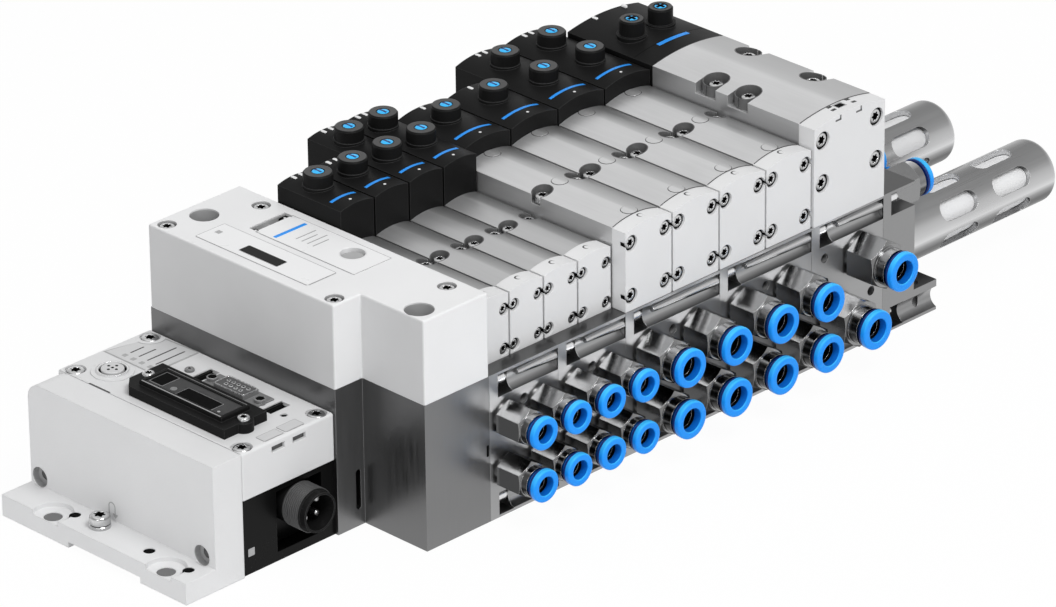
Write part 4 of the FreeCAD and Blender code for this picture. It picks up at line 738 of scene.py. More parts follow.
@fixed_piece("override_faces", [housing_sheen, screen_black])
def override_tops(shape):
    """The face of each override's housing in a lighter black, a painted sheen, and the gap round its
    button in black, painted shade.
    """
    base = -BUTTON_PROUD - 0.1
    for name in nodes_named("override_button"):
        matrix = top_seat(*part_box(name))
        face, gap = HOUSING_LARGE if name.startswith(LARGE_VALVE_BUTTON) else HOUSING
        tube(shape, face, 2.9, base, -BUTTON_PROUD + 0.03, matrix, 0, steps=64)
        tube(shape, gap, 2.56, base, -BUTTON_PROUD + 0.05, matrix, 1)


# Screws with six-lobed sockets

def screw_head(shape, radius, depth, matrix):
    """A soft-edged head with a lobed socket, its top at 0."""
    steps = 72
    soft = 0.3 * radius
    lobes = [0.56 * radius * (0.84 + 0.16 * math.cos(6 * math.tau * step / steps))
             for step in range(steps)]

    def ring(radii, height):
        outline = [(reach * math.cos(math.tau * step / steps), reach * math.sin(math.tau * step / steps))
                   for step, reach in enumerate(radii)]
        return ring_points(shape, outline, height, matrix)
    rings = [(ring([radius] * steps, -depth), 0), (ring([radius] * steps, -soft), 0)]
    for angle in (22, 45, 68, 90):
        turn = math.radians(angle)
        reach = radius - soft * (1 - math.cos(turn))
        rings.append((ring([reach] * steps, -soft * (1 - math.sin(turn))), 0))
    # The lobed socket's walls and bottom take the dark finish: painted shade.
    rings += [(ring([reach * 1.06 for reach in lobes], 0.0), 0), (ring(lobes, -0.05 * radius), 1),
              (ring(lobes, -0.45 * radius), 1), (ring([0.1 * radius] * steps, -0.55 * radius), 1)]
    for (first, finish), (second, _) in zip(rings, rings[1:]):
        bridge(shape, first, second, finish)
    shape.faces.new(rings[-1][0]).material_index = 1
    shape.faces.new(rings[0][0])


def screws():
    """Every screw again, head by head, in place of the plain ones, and the earth screw's washer."""
    def build(shape):
        for low, high in loose_parts(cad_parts["screws"]):
            size = (high - low) / MM
            middle = (low + high) / 2
            radius = size.x / 2
            if abs(size.x - size.y) < 0.2 and size.z < 0.3 * size.x:
                tube(shape, radius, 0.5 * radius, 0.0, size.z, seat(Vector((middle.x, middle.y, low.z))),
                     soft=0.25 * size.z)
                continue
            if size.z > size.y:
                matrix, length = top_seat(low, high), size.z
            else:
                matrix, length = seat(Vector((middle.x, low.y, middle.z)), FRONT), size.y
            head = min(0.85 * radius, length / 2)
            # A dark ring round the side of each head that looks to the front: painted shadow in its
            # recess.
            if size.y >= size.z:
                tube(shape, radius + 0.2, radius + 0.02, -0.6 * length, -0.2, matrix, 1)
            screw_head(shape, radius, head, matrix)
            shank = 0.5 * radius
            turned(shape, [(0, -head, 0), (shank, -head, 0), (shank, -length, 0), (0, -length, 0)],
                   matrix, 16, closed=False)
    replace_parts(new_piece("screws_lobed", build, [chrome, black_and_recess_shade]), "screws")


# Interface block: labels, switch window and small marks

COVER_TOP = 100.0
# Height of a label over its surface
PRINT = 0.12
LABEL_HOLE = (-12.0, 62.8)
LABEL_HOLE_RADIUS = 5.1
SEAM_SLOT = (-1.2, 0.0, 31.5)
STEP_SLOT = (-38.2, 34.7, 16.05)
WELL_X = -28.5
WELLS = (8.7, 130.3)
WELL_RADIUS = 6.0
WELL_DEPTH = 14.0
COVER_SCREWS = ((-44.4, 134.7), (-6.8, 120.6), (-44.4, 39.3), (-6.8, 15.6))
# Limits in X and in Y
LEFT_LABEL = ((-44.2, -28.4), (54.6, 118.7))
LEFT_LABEL_FRAME = ((-41.2, -35.2), (75.1, 97.1))
LEFT_LABEL_WINDOW = ((-40.9, -35.5), (75.4, 96.8))
LEFT_LABEL_SQUARE = ((-36.5, -34.0), (113.3, 115.8))
RIGHT_LABEL = ((-25.1, -4.6), (48.4, 104.7))
RIGHT_LABEL_STRIPE = ((-23.5, -6.4), (94.3, 96.1))
SWITCH_WINDOW = ((-24.4, -4.8), (104.2, 109.2))
WINDOW_DEPTH = 5.8
# Printed lines of the right label
LINE_ENDS = (-7.8, -10.0, -7.8, -10.0)
LINE_START = -18.6
LINE_BACK = 88.0
LINE_PITCH = 3.2
WINDOW_KNOB = -15.0


def label_round_hole(shape, x, y, z, hole, radius, height, finish):
    """A rectangular label with a round hole, as a band from the hole to the label's edge."""
    steps = 96
    inner, outer = [], []
    for step in range(steps):
        angle = math.tau * step / steps
        across, along = math.cos(angle), math.sin(angle)
        reaches = [((x[1] if across > 0 else x[0]) - hole[0]) / across if abs(across) > 1e-9 else 1e9,
                   ((y[1] if along > 0 else y[0]) - hole[1]) / along if abs(along) > 1e-9 else 1e9]
        inner.append((radius * across, radius * along))
        outer.append((min(reaches) * across, min(reaches) * along))
    band(shape, outer, inner, 0.0, height, spot(*hole, z), finish)


@fixed_piece("interface_labels", [label_white, print_grey, screen_black, print_blue])
def interface_labels(shape):
    """Two plain labels: the left one with its dark window and square, the right one with lines."""
    tile(shape, *LEFT_LABEL, COVER_TOP, PRINT, 0)
    outline_frame(shape, *LEFT_LABEL, COVER_TOP, 0.25, PRINT + 0.02, 1)
    tile(shape, *LEFT_LABEL_FRAME, COVER_TOP, PRINT + 0.1, 1, 0.6)
    tile(shape, *LEFT_LABEL_WINDOW, COVER_TOP, PRINT + 0.25, 2, 0.5, 0.1)
    tile(shape, *LEFT_LABEL_SQUARE, COVER_TOP, PRINT + 0.04, 1, 0.2)
    label_round_hole(shape, *RIGHT_LABEL, COVER_TOP, LABEL_HOLE, LABEL_HOLE_RADIUS + 0.3, PRINT, 0)
    outline_frame(shape, *RIGHT_LABEL, COVER_TOP, 0.25, PRINT + 0.02, 1)
    tile(shape, *RIGHT_LABEL_STRIPE, COVER_TOP, PRINT + 0.03, 3, 0.2)
    for row, end in enumerate(LINE_ENDS):
        y = LINE_BACK - LINE_PITCH * row
        tile(shape, (LINE_START, end), (y - 0.3, y + 0.3), COVER_TOP, PRINT + 0.03, 1, 0.1)


@fixed_piece("interface_window_levers", [label_white, mid_grey, black_and_recess_shade])
def interface_window(shape):
    """The dark switch blocks at both ends of the window and the white knob between them."""
    (left, right), (front, back) = SWITCH_WINDOW
    floor = COVER_TOP - WINDOW_DEPTH
    middle = (front + back) / 2
    # The floor and back wall are mid grey: painted shade on the white mouldings inside the window.
    tile(shape, (left + 0.1, right - 0.1), (front + 0.1, back - 0.1), floor, 1.0, 1, 0.2)
    tile(shape, (left + 0.1, right - 0.1), (back - 0.6, back - 0.1), floor + 1.0, 4.4, 1, 0.1)
    for limits in ((left + 0.3, left + 2.9), (right - 4.2, right - 0.3)):
        tile(shape, limits, (front + 0.4, back - 0.8), floor + 1.0, 3.8, 2, 0.3, 0.2)
        x = sum(limits) / 2
        tile(shape, (x - 0.5, x + 0.5), (middle - 0.5, middle + 0.5), floor + 4.8, 0.1, 0, 0.1)
    disc(shape, 1.7, 1.0, 4.2, spot(WINDOW_KNOB, middle, floor), 0, 0.8)


@fixed_piece("interface_stopper_and_wall_shade", [mid_grey])
def interface_stopper_and_shade(shape):
    """The stopper in the label's hole, and painted shade on the walls of the wells and screw recesses."""
    disc(shape, LABEL_HOLE_RADIUS - 0.1, -6.0, -1.6, spot(*LABEL_HOLE, COVER_TOP), 0, 0.4)
    for y in WELLS:
        tube(shape, WELL_RADIUS + 0.3, WELL_RADIUS - 0.05, -WELL_DEPTH, -0.6,
             spot(WELL_X, y, COVER_TOP))
    for place in COVER_SCREWS:
        tube(shape, 4.1, 3.85, -3.6, -0.3, spot(*place, COVER_TOP))


@fixed_piece("interface_front_slots", [black_and_recess_shade])
def interface_marks(shape):
    """Painted shade: the dark slot beside the seam, and the dark bottom of the slot in the step."""
    slab(shape, rounded_rectangle(1.2, 5.0, 0.4), 0.0, 0.06, spot(*SEAM_SLOT, FRONT))
    slab(shape, rounded_rectangle(2.3, 17.0, 1.1), -3.95, -3.8, spot(*STEP_SLOT, FRONT))


# Bus module

MODULE_TOP = 53.6
MODULE_SCREW = (-54.4, 135.9)
SOCKET = (-85.4, 123.7)
DATA = (-64.0, 75.6)
DATA_PITCH = 2.77
DATA_ROW = 2.84
DATA_POST = 13.65
PLUG = (-68.5, 24.4, 21.0)
PIN_CIRCLE = 4.4
CONTACT_CIRCLE = 2.2
MODULE_LABEL = ((-76.0, -50.2), (111.2, 139.6))
MODULE_LABEL_FIELD = ((-75.4, -51.2), (112.2, 138.8))
LABEL_ROW_FRONT = 116.0
LABEL_ROW_PITCH = 4.9
LABEL_SQUARES = (-73.6, -71.4)
LABEL_LINE_START = -69.6
LABEL_LINE_ENDS = (-54.0, -54.0, -60.5, -62.5)
MODULE_FIELDS = (((-73.9, -63.8), (36.9, 42.7)), ((-85.1, -74.8), (36.9, 42.2)))
MODULE_KNOB = (-63.8, 102.6)
EDGE_MARK = ((-98.8, -98.0), (111.0, 123.0))
EDGE_LINE = ((-99.0, -98.75), (36.5, 140.0))
CLIP_SLOT_X = (-67.2, -56.8)
CLIP_SLOTS = ((52.5, 58.0), (92.8, 98.3))
LAMP_HOLE = (-64.4, 48.2)
VENTS = ((-82.9, -76.0), (-71.7, -64.8))
VENT_HEIGHT = 49.8
MODULE_FRONT = 35.5


def notched_plate_outline(x, y, centre, radius, steps=10):
    """A rectangle whose back right corner gives way to a screw, as points in place."""
    outline = [(x[0], y[0]), (x[1], y[0])]
    for step in range(steps + 1):
        angle = math.radians(-60 - 120 * step / steps)
        point = on_circle(centre, radius, angle)
        if point[0] < x[1] and point[1] < y[1]:
            outline.append(point)
    outline.append((x[0], y[1]))
    return outline


@fixed_piece("module_labels", [label_grey, print_grey, mid_grey, print_dark, shell_grey])
def module_marks(shape):
    """The label plate by the back screw with its rows of plain marks, two field squares, one knob."""
    datum = spot(0.0, 0.0, MODULE_TOP)
    edge = notched_plate_outline(*MODULE_LABEL, MODULE_SCREW, 6.4)
    slab(shape, edge, 0.0, 0.1, datum, finish=1)
    field = notched_plate_outline(*MODULE_LABEL_FIELD, MODULE_SCREW, 7.1)
    slab(shape, field, 0.05, 0.22, datum, finish=0)
    for row, right in enumerate(LABEL_LINE_ENDS):
        y = LABEL_ROW_FRONT + LABEL_ROW_PITCH * row
        tile(shape, LABEL_SQUARES, (y - 1.1, y + 1.1), MODULE_TOP, 0.26, 2, 0.3)
        tile(shape, (LABEL_LINE_START, right), (y - 0.35, y + 0.35), MODULE_TOP, 0.25, 3, 0.2)
    for x, y in MODULE_FIELDS:
        tile(shape, x, y, MODULE_TOP, PRINT, 0, 0.4)
        outline_frame(shape, x, y, MODULE_TOP, 0.2, PRINT + 0.02, 1, 0.5)
    disc(shape, 2.0, 0.0, 1.1, spot(*MODULE_KNOB, MODULE_TOP), 4, 0.3)
    disc(shape, 1.1, 1.1, 1.16, spot(*MODULE_KNOB, MODULE_TOP), 1)
    tile(shape, *EDGE_MARK, MODULE_TOP, 0.08, 3, 0.3)
    tile(shape, *EDGE_LINE, MODULE_TOP, 0.05, 1, 0.1)


@fixed_piece("module_recess_bottoms", [black_and_recess_shade, satin_black, shell_dark])
def module_recesses(shape):
    """Dark bottoms for the clip slots, the lamp hole and the vents: painted shade."""
    for front, back in CLIP_SLOTS:
        tile(shape, CLIP_SLOT_X, (front + 0.1, back - 0.1), MODULE_TOP - 1.55, 0.1, 0, 0.3)
        tile(shape, CLIP_SLOT_X, (back - 1.5, back - 0.4), MODULE_TOP - 1.5, 1.2, 1, 0.3, 0.2)
    disc(shape, 1.4, -1.6, -0.5, spot(*LAMP_HOLE, MODULE_TOP), 0, 0.2)
    for left, right in VENTS:
        slab(shape, rounded_rectangle(right - left - 0.1, 2.5, 0.2), -1.58, -1.3,
             spot((left + right) / 2, MODULE_FRONT, VENT_HEIGHT, FRONT), finish=2)


@fixed_piece("data_socket_trim", [bright_steel, black_and_recess_shade, shell_dark])
def data_socket_details(shape):
    """Bright shell edge, nine lined contact holes and two threaded posts of the data socket, with painted
    shade in the holes of both.
    """
    shell_top = MODULE_TOP + 2.9
    columns = [(-DATA_ROW / 2, 4), (DATA_ROW / 2, 5)]
    matrix = spot(*DATA, shell_top)
    slab(shape, rounded_rectangle(8.0, 16.6, 1.2), -0.05, 0.05, matrix, finish=2)
    band(shape, rounded_rectangle(8.3, 16.9, 1.2), rounded_rectangle(7.7, 16.3, 0.9), -0.3, 0.25,
         matrix)
    for across, count in columns:
        for index in range(count):
            along = (index - (count - 1) / 2) * DATA_PITCH
            hole = spot(DATA[0] + across, DATA[1] + along, shell_top)
            tube(shape, 0.92, 0.52, -0.1, 0.12, hole, 0, 0.05, 24)
            disc(shape, 0.55, -0.6, 0.09, hole, 1, steps=24)
    for side in (-1, 1):
        post = spot(DATA[0], DATA[1] + side * DATA_POST, MODULE_TOP)
        outline = circle(2.32, 6)
        rings = [ring_points(shape, outline, height, post) for height in (0.7, 2.05)]
        rings.append(ring_points(shape, circle(1.95, 6), 2.25, post))
        for first, second in zip(rings, rings[1:]):
            bridge(shape, first, second, 0)
        bridge(shape, rings[-1], ring_points(shape, circle(1.0, 6), 2.25, post), 1)
        disc(shape, 1.05, 0.6, 2.26, post, 1, steps=24)


@fixed_piece("service_socket_insert", [deep_black, label_grey, bright_steel])
def service_socket_details(shape):
    """The round socket's black lining, pale insert with five contacts, and bright lip."""
    matrix = spot(*SOCKET, MODULE_TOP)
    tube(shape, 5.66, 5.2, -9.9, 0.6, matrix, 0)
    disc(shape, 4.7, -5.2, 1.9, matrix, 1, 0.3, 48)
    for index in range(5):
        reach = 0.0 if index == 4 else CONTACT_CIRCLE
        angle = math.tau * index / 4
        contact = spot(*on_circle(SOCKET, reach, angle), MODULE_TOP)
        disc(shape, 0.62, 1.8, 1.96, contact, 0, steps=20)
    tube(shape, 6.62, 6.3, 1.35, 1.46, matrix, 2)


@fixed_piece("power_plug_thread", [ridged, socket_metal])
def power_plug_details(shape):
    """The plug's ridged grip and its four bright pins."""
    crest, root, start_depth, end_depth, core = 9.3, 9.02, -3.3, -12.3, 8.8
    matrix = spot(*PLUG, FRONT)
    thread = []
    for turn in range(9):
        start = start_depth - turn
        thread += [(crest, start, 0), (crest, start - 0.35, 0), (root, start - 0.6, 0),
                   (root, start - 0.9, 0)]
    turned(shape, thread + [(core, end_depth, 0), (core, start_depth, 0)], matrix, 72)
    for index in range(4):
        angle = math.radians(45 + 90 * index)
        x, z = on_circle((PLUG[0], PLUG[2]), PIN_CIRCLE, angle)
        pin = spot(x, PLUG[1], z, FRONT)
        turned(shape, [(1.3, -12.5, 1), (1.3, -5.4, 1), (0.9, -4.9, 1), (0, -4.85, 1)], pin, 20, False)


# Switch cover

SWITCH_LENS = ((-90.9, -75.9), (54.8, 102.0))
SWITCH_SCREENS = (((-88.0, -78.3), (92.0, 99.5)), ((-89.0, -81.6), (63.2, 83.5)))
SWITCH_KNOB = (-86.2, 87.2)
SWITCH_DOT = (-87.4, 60.2)


@fixed_piece("switch_cover_pane", [smoked, black_and_recess_shade, shell_grey, mid_grey])
def switch_cover_details(shape):
    """The smoked pane over two dark screens, a knob and a dot, with pale strips along its edges: painted
    highlights.
    """
    (left, right), (front, back) = SWITCH_LENS
    pane, rim = 58.95, 59.75
    tile(shape, (left + 1.65, right - 1.65), (front + 1.65, back - 1.65), pane, 0.35, 0, 0.4, 0.1)
    for x, y in SWITCH_SCREENS:
        tile(shape, x, y, pane + 0.35, 0.06, 2, 0.4)
        tile(shape, (x[0] + 0.3, x[1] - 0.3), (y[0] + 0.3, y[1] - 0.3), pane + 0.41, 0.05, 1, 0.3)
    disc(shape, 1.4, 0.35, 0.55, spot(*SWITCH_KNOB, pane), 2, 0.15)
    disc(shape, 0.6, 0.35, 0.45, spot(*SWITCH_DOT, pane), 3)
    tile(shape, (left + 0.25, left + 0.75), (front + 1.0, back - 1.0), rim, 0.1, 3, 0.15)
    tile(shape, (right - 0.75, right - 0.45), (front + 1.0, back - 1.0), rim, 0.08, 2, 0.12)


# Left end plate and interlink block

PLATE_FACE = -113.9
FOOT_TOP = 9.4
EARTH_HOOK = (94.6, 15.4)
EARTH_TIP = ((91.2, 12.6), (94.3, 12.6), (92.8, 10.6))
PLATE_BORES = ((43.2, 12.9), (137.0, 12.9))
TAPPED_HOLES = ((-121.0, 43.2), (-121.0, 65.6), (-121.0, 108.6))
FOOT_HOLES = ((-125.5, 51.1), (-125.5, 116.5))
INTERLINK_SQUARE = (-94.2, 36.4, 9.3)


@fixed_piece("end_plate_marks", [print_grey, black_and_recess_shade, dim_grey, mid_grey])
def plate_marks(shape):
    """The earth hook mark on the upright, and painted shade that gives the depth of the plate's bores and
    holes.
    """
    wire, lift, reach = 0.22, 0.08, 1.75
    y, z = EARTH_HOOK
    path = [(y + reach, z - 5.2)]
    path += [on_circle(EARTH_HOOK, reach, math.radians(angle)) for angle in range(0, 181, 15)]
    path.append((y - reach, z - 2.8))
    for first, second in zip(path, path[1:]):
        first, second = Vector(first), Vector(second)
        run = second - first
        side = Vector((-run.y, run.x)).normalized() * wire
        stamped(shape, (first + side, first - side, second - side, second + side), PLATE_FACE, lift)
    stamped(shape, EARTH_TIP, PLATE_FACE, lift)
    for place in TAPPED_HOLES:
        disc(shape, 2.38, -1.6, -0.4, spot(*place, FOOT_TOP), 1)
    for place in PLATE_BORES:
        bore = spot(PLATE_FACE, *place, LEFT)
        tube(shape, 4.4, 4.2, -3.0, -0.2, bore, 3)
        disc(shape, 4.25, -5.0, -3.0, bore, 3)
        disc(shape, 1.9, -3.0, -2.9, bore, 2)
    for place in FOOT_HOLES:
        disc(shape, 3.78, -4.0, -2.5, spot(*place, FOOT_TOP), 2)


@fixed_piece("interlink_square", [mid_grey])
def block_square(shape):
    """The small square insert on the front of the interlink block."""
    slab(shape, rounded_rectangle(3.4, 3.4, 0.3), -0.05, 0.12, spot(*INTERLINK_SQUARE, FRONT), 0.05)


# Sub-bases

SEAMS = (0.0, 38.0, 76.0, 130.0, 184.0, ROW_END)
ROD_FRONT = 5.8
ROD_HIGH = 57.7
ROD_LOW = 6.0
NUT_START = 7.4
GUIDE_START = 17.3
GUIDE_FRONT = 2.3
GUIDE_RISE = 1.0
GUIDE_RADII = (1.15, 2.2)
GUIDE_SKIN = 0.04
BLANK_HOLES = ((19.0, 47.4), (57.0, 47.4), (103.0, 47.4), (157.0, 47.4), (191.9, 47.4), (220.0, 22.8))


@fixed_piece("tie_rod_nuts", [bright_steel, chrome])
def rod_nuts(shape):
    """The bright turned nut on each tie rod, where it shows in a window. The last seam has one nut."""
    for seam in SEAMS:
        for z in (ROD_HIGH, ROD_LOW):
            if seam < ROW_END or z > ROD_LOW:
                matrix = spot(seam + NUT_START, ROD_FRONT, z, RIGHT)
                tube(shape, 2.8, 2.05, 0.0, 4.6, matrix, 0, 0.3, 40)
                tube(shape, 2.5, 2.05, 4.6, 5.2, matrix, 1)


@fixed_piece("rod_guides", [guide_metal])
def rod_guides(shape):
    """The bright polished surface of the tapered guide beside each window, with its light and shade
    painted by facing.
    """
    for start, stop in zip(SEAMS, SEAMS[1:]):
        length = stop - start - GUIDE_START - 0.3
        for z in (ROD_HIGH, ROD_LOW):
            small, large = (radius + GUIDE_SKIN for radius in GUIDE_RADII)
            profile = [(0, -GUIDE_SKIN, 0), (small, -GUIDE_SKIN, 0), (large, length, 0), (0, length, 0)]
            turned(shape, profile, spot(start + GUIDE_START, GUIDE_FRONT, z + GUIDE_RISE, RIGHT), 48,
                   closed=False)


@fixed_piece("blank_hole_threads", [dim_grey, black_and_recess_shade])
def blank_threads(shape):
    """The thread that shows in the blank holes, in a dark grey, with a dark bottom: painted shade inside
    the holes.
    """
    pitch, turns, top = 0.6, 6, -0.5
    wide, narrow = 2.08, 1.78
    for x, z in BLANK_HOLES:
        profile = []
        for turn in range(turns):
            start = top - pitch * turn
            profile += [(wide, start, 0), (narrow, start - pitch / 2, 0)]
        profile += [(wide, top - pitch * turns, 0), (2.095, top - pitch * turns, 0), (2.095, top, 0)]
        turned(shape, profile, spot(x, 0.0, z, FRONT), 40)
        disc(shape, 2.0, -5.6, -5.2, spot(x, 0.0, z, FRONT), 1)


@fixed_piece("base_seals", [black_and_recess_shade])
def base_seals(shape):
    """The dark edge of the seal between sub-bases."""
    for seam in SEAMS:
        tile(shape, (seam - 0.12, seam + 0.12), (0.6, 139.0), BASE_TOP - 0.6, 0.6, 0, 0.05)
        slab(shape, rounded_rectangle(0.24, 61.0, 0.05), -0.5, -0.12, spot(seam, 0.0, 32.0, FRONT))


# Valves

FLUSH_DISCS = (11.0, 49.5, 87.5)
FLUSH_RADIUS = 3.45
# Width and length of a status lamp
LAMP = (1.45, 3.1)
LAMP_PITCH = 3.9
LAMP_OFFSET = 0.4
LARGE_LAMP_PITCH = 17.4
LARGE_LAMP_OFFSET = 2.2


@fixed_piece("body_plugs", [valve_metal, print_dark])
def body_discs(shape):
    """The flush plugs in the tops of the medium valves, each on a dark ring that shows most at its front
    and left: its fine groove and a painted shadow.
    """
    for size, middle, _ in valves():
        if size != "medium":
            continue
        for y in FLUSH_DISCS:
            draped_disc(shape, "body", size, middle, y, FLUSH_RADIUS + 0.1, 0.02, 1)
            draped_disc(shape, "body", size, middle + 0.12, y + 0.12, FLUSH_RADIUS - 0.2, 0.08, 0)


BODY_SCREW_INSET = {"small": 3.3, "medium": 3.7, "large": 6.5}
POCKET = {"small": (3.9, 87.4), "medium": (4.4, 94.8), "large": (5.6, 102.9)}
POCKET_WALL = 0.3


def body_screw_places(size, middle):
    """X and Y of the screws in a valve body's top."""
    reach = WIDTH[size] / 2 - BODY_SCREW_INSET[size]
    rows = {-1: (42.0, 60.0), 1: (33.3, 69.5)} if size == "large" else {-1: (50.0,), 1: (50.0,)}
    for side, places in rows.items():
        for y in places:
            yield middle + side * reach, y


@fixed_piece("pocket_wall_shade", [pocket_shade])
def pocket_wall_shade(shape):
    """Painted shade on the wall of each pocket in a valve's arched top, as far as the valve's side."""
    for size, middle, _ in valves():
        radius, floor = POCKET[size]
        side = WIDTH[size] / 2 - 0.05
        for x, y in body_screw_places(size, middle):
            columns = []
            for step in range(72):
                angle = math.tau * step / 72 + (math.pi if x < middle else 0.0)
                across, along = math.cos(angle), math.sin(angle)
                offset = x + radius * across - middle
                if abs(offset) > side:
                    continue
                level = arch("body", size, offset) + 0.03
                outer, inner = radius + 0.1, radius - POCKET_WALL
                section = ((outer, floor), (outer, level), (inner, level), (inner, floor))
                columns.append([spot(x + reach * across, y + reach * along, z) @ Vector()
                                for reach, z in section])
            strip(shape, columns)


@fixed_piece("valve_gaskets", [print_dark])
def gaskets(shape):
    """The dark line of the gasket between a valve's cap, body and head."""
    half = 0.16
    for size, middle, _ in valves():
        reach = WIDTH[size] / 2 - 0.4
        for y in (CAP_BACK[size], HEAD_FRONT[size]):
            draped_bar(shape, "body", size, middle, (-reach, reach), (y - half, y + half), 0.03)


# Marks of the large cap, as offsets from the valve's middle and places along Y
CAP_NOTCHES = ((-4.3, 6.9), (-4.8, 4.0), (6.4, 6.9), (6.8, 3.7))
CAP_SQUARE = ((-2.5, 2.5), (3.2, 7.2))
CAP_SQUARE_FIELD = ((-2.1, 1.7), (3.6, 6.4))
CAP_CORNERS = (-6.8, 5.4)
CORNER_HEIGHT = 107.2
# Width, length, shift and rise of the two lines of a corner mark
CORNER_LINES = ((3.4, 0.8, 0.0, 0.0), (0.8, 1.8, 1.3, 1.0))


@fixed_piece("cap_marks", [print_grey, print_dark, black_and_recess_shade, cap_white, dim_grey])
def cap_marks(shape):
    """The small dimple on each cap, as a grey crescent of painted shade beside a white disc, and the
    square, notches and corner marks of the large one.
    """
    for size, middle, _ in valves():
        y = CAP_FRONT[size] + 4.6
        if size != "large":
            draped_disc(shape, "cap", size, middle, y, 1.5, 0.02, 1)
            draped_disc(shape, "cap", size, middle + 0.25, y - 0.3, 1.2, 0.05, 3)
            continue
        draped_bar(shape, "cap", size, middle, *CAP_SQUARE, 0.04, 0)
        draped_bar(shape, "cap", size, middle, *CAP_SQUARE_FIELD, 0.07, 2)
        for offset, along in CAP_NOTCHES:
            draped_bar(shape, "cap", size, middle, (offset - 1.2, offset + 1.2),
                       (along - 0.7, along + 0.7), 0.05, 1)
        for across in CAP_CORNERS:
            for width, length, shift, rise in CORNER_LINES:
                mark = spot(middle + across + shift, CAP_FRONT[size], CORNER_HEIGHT + rise, FRONT)
                slab(shape, rounded_rectangle(width, length, 0.15), 0.0, 0.05, mark, finish=4)


# Marks of the large head: limits across the valve, places behind the head's front, lift and finish
LARGE_HEAD_MARKS = (((-7.8, 10.1), (8.6, 10.8), 0.04, 1), ((-20.6, 20.6), (10.9, 11.15), 0.03, 2))
STRIPE = (7.4, 8.9)
STRIPE_INSET = {"small": 2.4, "medium": 3.0}
HEAD_DOT = 3.9


def lamp_places(size, double):
    """X offset of each status lamp on a pilot head."""
    if size == "large":
        return [LARGE_LAMP_OFFSET - LARGE_LAMP_PITCH / 2, LARGE_LAMP_OFFSET + LARGE_LAMP_PITCH / 2]
    count = 1 if size == "medium" and not double else 2
    return [LAMP_OFFSET + (index - (count - 1) / 2) * LAMP_PITCH for index in range(count)]


@fixed_piece("head_marks", [lamp_white, print_blue, black_and_recess_shade])
def head_marks(shape):
    """Status lamps, the front dot and a plain coloured stripe, and the seam of the large head."""
    for size, middle, double in valves():
        double = double or size == "large"
        back = head_back(size, double) - 0.2
        top = CROWN["head"][size]
        for offset in lamp_places(size, double):
            matrix = spot(middle + offset, back - LAMP[1] / 2, top)
            slab(shape, rounded_rectangle(*LAMP, 0.6), -1.4, 0.12, matrix, 0.12, 0)
        front = HEAD_FRONT[size]
        if size == "large":
            for limits, (start, stop), lift, finish in LARGE_HEAD_MARKS:
                draped_bar(shape, "head", size, middle, limits, (front + start, front + stop), lift,
                           finish)
            continue
        draped_disc(shape, "head", size, middle, front + HEAD_DOT, 0.6, 0.05, 0)
        reach = WIDTH[size] / 2 - STRIPE_INSET[size]
        draped_bar(shape, "head", size, middle, (-reach, reach), (front + STRIPE[0], front + STRIPE[1]),
                   0.04, 1)


# Silencers

SILENCERS = ((246.3, 25.5, 25.9), (246.3, 82.4, 25.9))


@fixed_piece("silencer_collars", [bright_steel])
def silencer_rims(shape):
    """The bright collar at each silencer's foot."""
    for place in SILENCERS:
        tube(shape, 13.95, 13.6, 0.0, 0.5, spot(*place, RIGHT), 0, 0.2, 96)


# Camera, floor and light

CAMERA_PLACE = (-1746.34, -1781.79, 1325.14)
CAMERA_AZIMUTH = -44.78
CAMERA_ELEVATION = 26.245
CAMERA_ROLL = -0.645
CAMERA_LENS = 245.42
SENSOR = 36.0


def add_camera():
    data = bpy.data.cameras.new("camera")
    data.lens = CAMERA_LENS
    data.sensor_width = SENSOR
    data.clip_start = 0.1
    data.clip_end = 50.0
    camera = bpy.data.objects.new("camera", data)
    bpy.context.scene.collection.objects.link(camera)
    bpy.context.scene.camera = camera
    camera.location = SEAM + Vector(CAMERA_PLACE) * MM
    tilt, swing = math.radians(90 - CAMERA_ELEVATION), math.radians(CAMERA_AZIMUTH)
    look = Euler((tilt, 0, swing), "XYZ").to_matrix()
    camera.rotation_euler = (look @ Matrix.Rotation(math.radians(CAMERA_ROLL), 3, "Z")).to_euler()


def add_lamp(name, place, size, power):
    """A round soft lamp that looks at the middle of the part."""
    data = bpy.data.lights.new(name, "AREA")
    data.shape = "DISK"
    data.size = size
    data.energy = power
    lamp = bpy.data.objects.new(name, data)
    bpy.context.scene.collection.objects.link(lamp)
    lamp.location = place
    lamp.rotation_euler = (Vector((0, 0, 0.05)) - Vector(place)).to_track_quat("-Z", "Y").to_euler()


# Place in metres, size and power
LAMPS = {"key": ((-0.25, -1.15, 1.95), 1.0, 26.0), "side": ((-1.7, -0.6, 0.9), 0.8, 6.0)}
SKY = ((0.0, 1.0), (0.60, 1.0), (0.72, 0.62), (0.86, 0.55), (0.97, 1.0))
SKY_LIGHT = 0.63


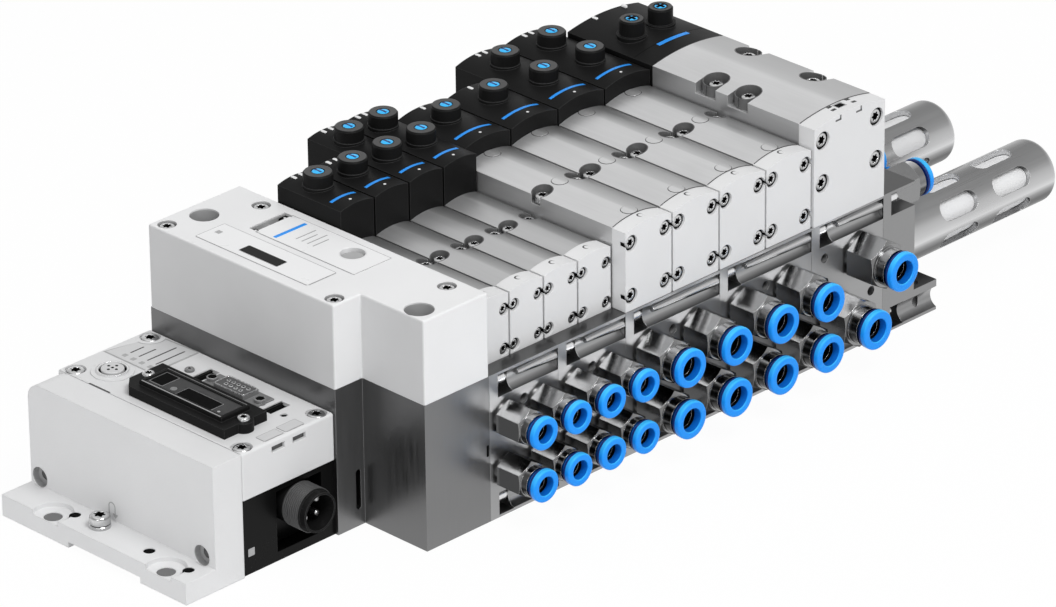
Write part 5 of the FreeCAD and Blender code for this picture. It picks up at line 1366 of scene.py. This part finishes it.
def add_sky():
    """A studio that is white round the horizon and greyer above, dimmed where it only lights."""
    world = bpy.data.worlds.new("studio")
    bpy.context.scene.world = world
    world.use_nodes = True
    sky = Recipe(world.node_tree)
    place = sky.node("ShaderNodeTexCoord", output="Generated")
    height = sky.split(place)[2] * 0.5 + 0.5
    stops = [(position, (tone, tone, tone)) for position, tone in SKY]
    colour = sky.node("ShaderNodeValToRGB", {"stops": stops}, {"Fac": height})
    strength = sky.seen_directly() * (1.0 - SKY_LIGHT) + SKY_LIGHT
    light = sky.node("ShaderNodeBackground", inputs={"Color": colour, "Strength": strength})
    sky.node("ShaderNodeOutputWorld", inputs={"Surface": light}, output=None)


def add_floor():
    """A pale floor that shows white to the camera and keeps a soft shadow."""
    reach, drop, glow_share = 6.0, 0.0005, 0.97
    mesh = bpy.data.meshes.new("floor")
    mesh.from_pydata([(-reach, -reach, 0), (reach, -reach, 0), (reach, reach, 0), (-reach, reach, 0)], [],
                     [(0, 1, 2, 3)])
    floor = bpy.data.objects.new("floor", mesh)
    bpy.context.scene.collection.objects.link(floor)
    floor.location.z = -drop
    finish = Finish("floor_white")
    finish.set(Base_Color=grey(0.90), Roughness=0.9, Specular_IOR_Level=0.1)
    glow = finish.node("ShaderNodeEmission", inputs={"Strength": 1.0})
    painted = Value(finish, finish.shader.outputs[0])
    share = finish.seen_directly() * glow_share
    blend = finish.node("ShaderNodeMixShader", inputs={0: share, 1: painted, 2: glow})
    finish.feed(finish.output.inputs["Surface"], blend)
    mesh.materials.append(finish.material)


add_camera()
dress_frame()
for node_name in nodes_named("override_button"):
    override_button(node_name)
for node_name in nodes_named("release_ring"):
    release_ring(node_name)
for make in (tube_seals, screws, interface_labels, interface_window, interface_stopper_and_shade, interface_marks,
             module_marks, module_recesses, data_socket_details, service_socket_details,
             power_plug_details, switch_cover_details, plate_marks, block_square, rod_nuts,
             blank_threads, base_seals, body_discs, rod_guides, pocket_wall_shade, gaskets, cap_marks,
             override_tops, head_marks, silencer_rims):
    make()
add_floor()
add_sky()
for lamp_name, lamp_settings in LAMPS.items():
    add_lamp(lamp_name, *lamp_settings)
bpy.context.scene.view_settings.view_transform = "Standard"
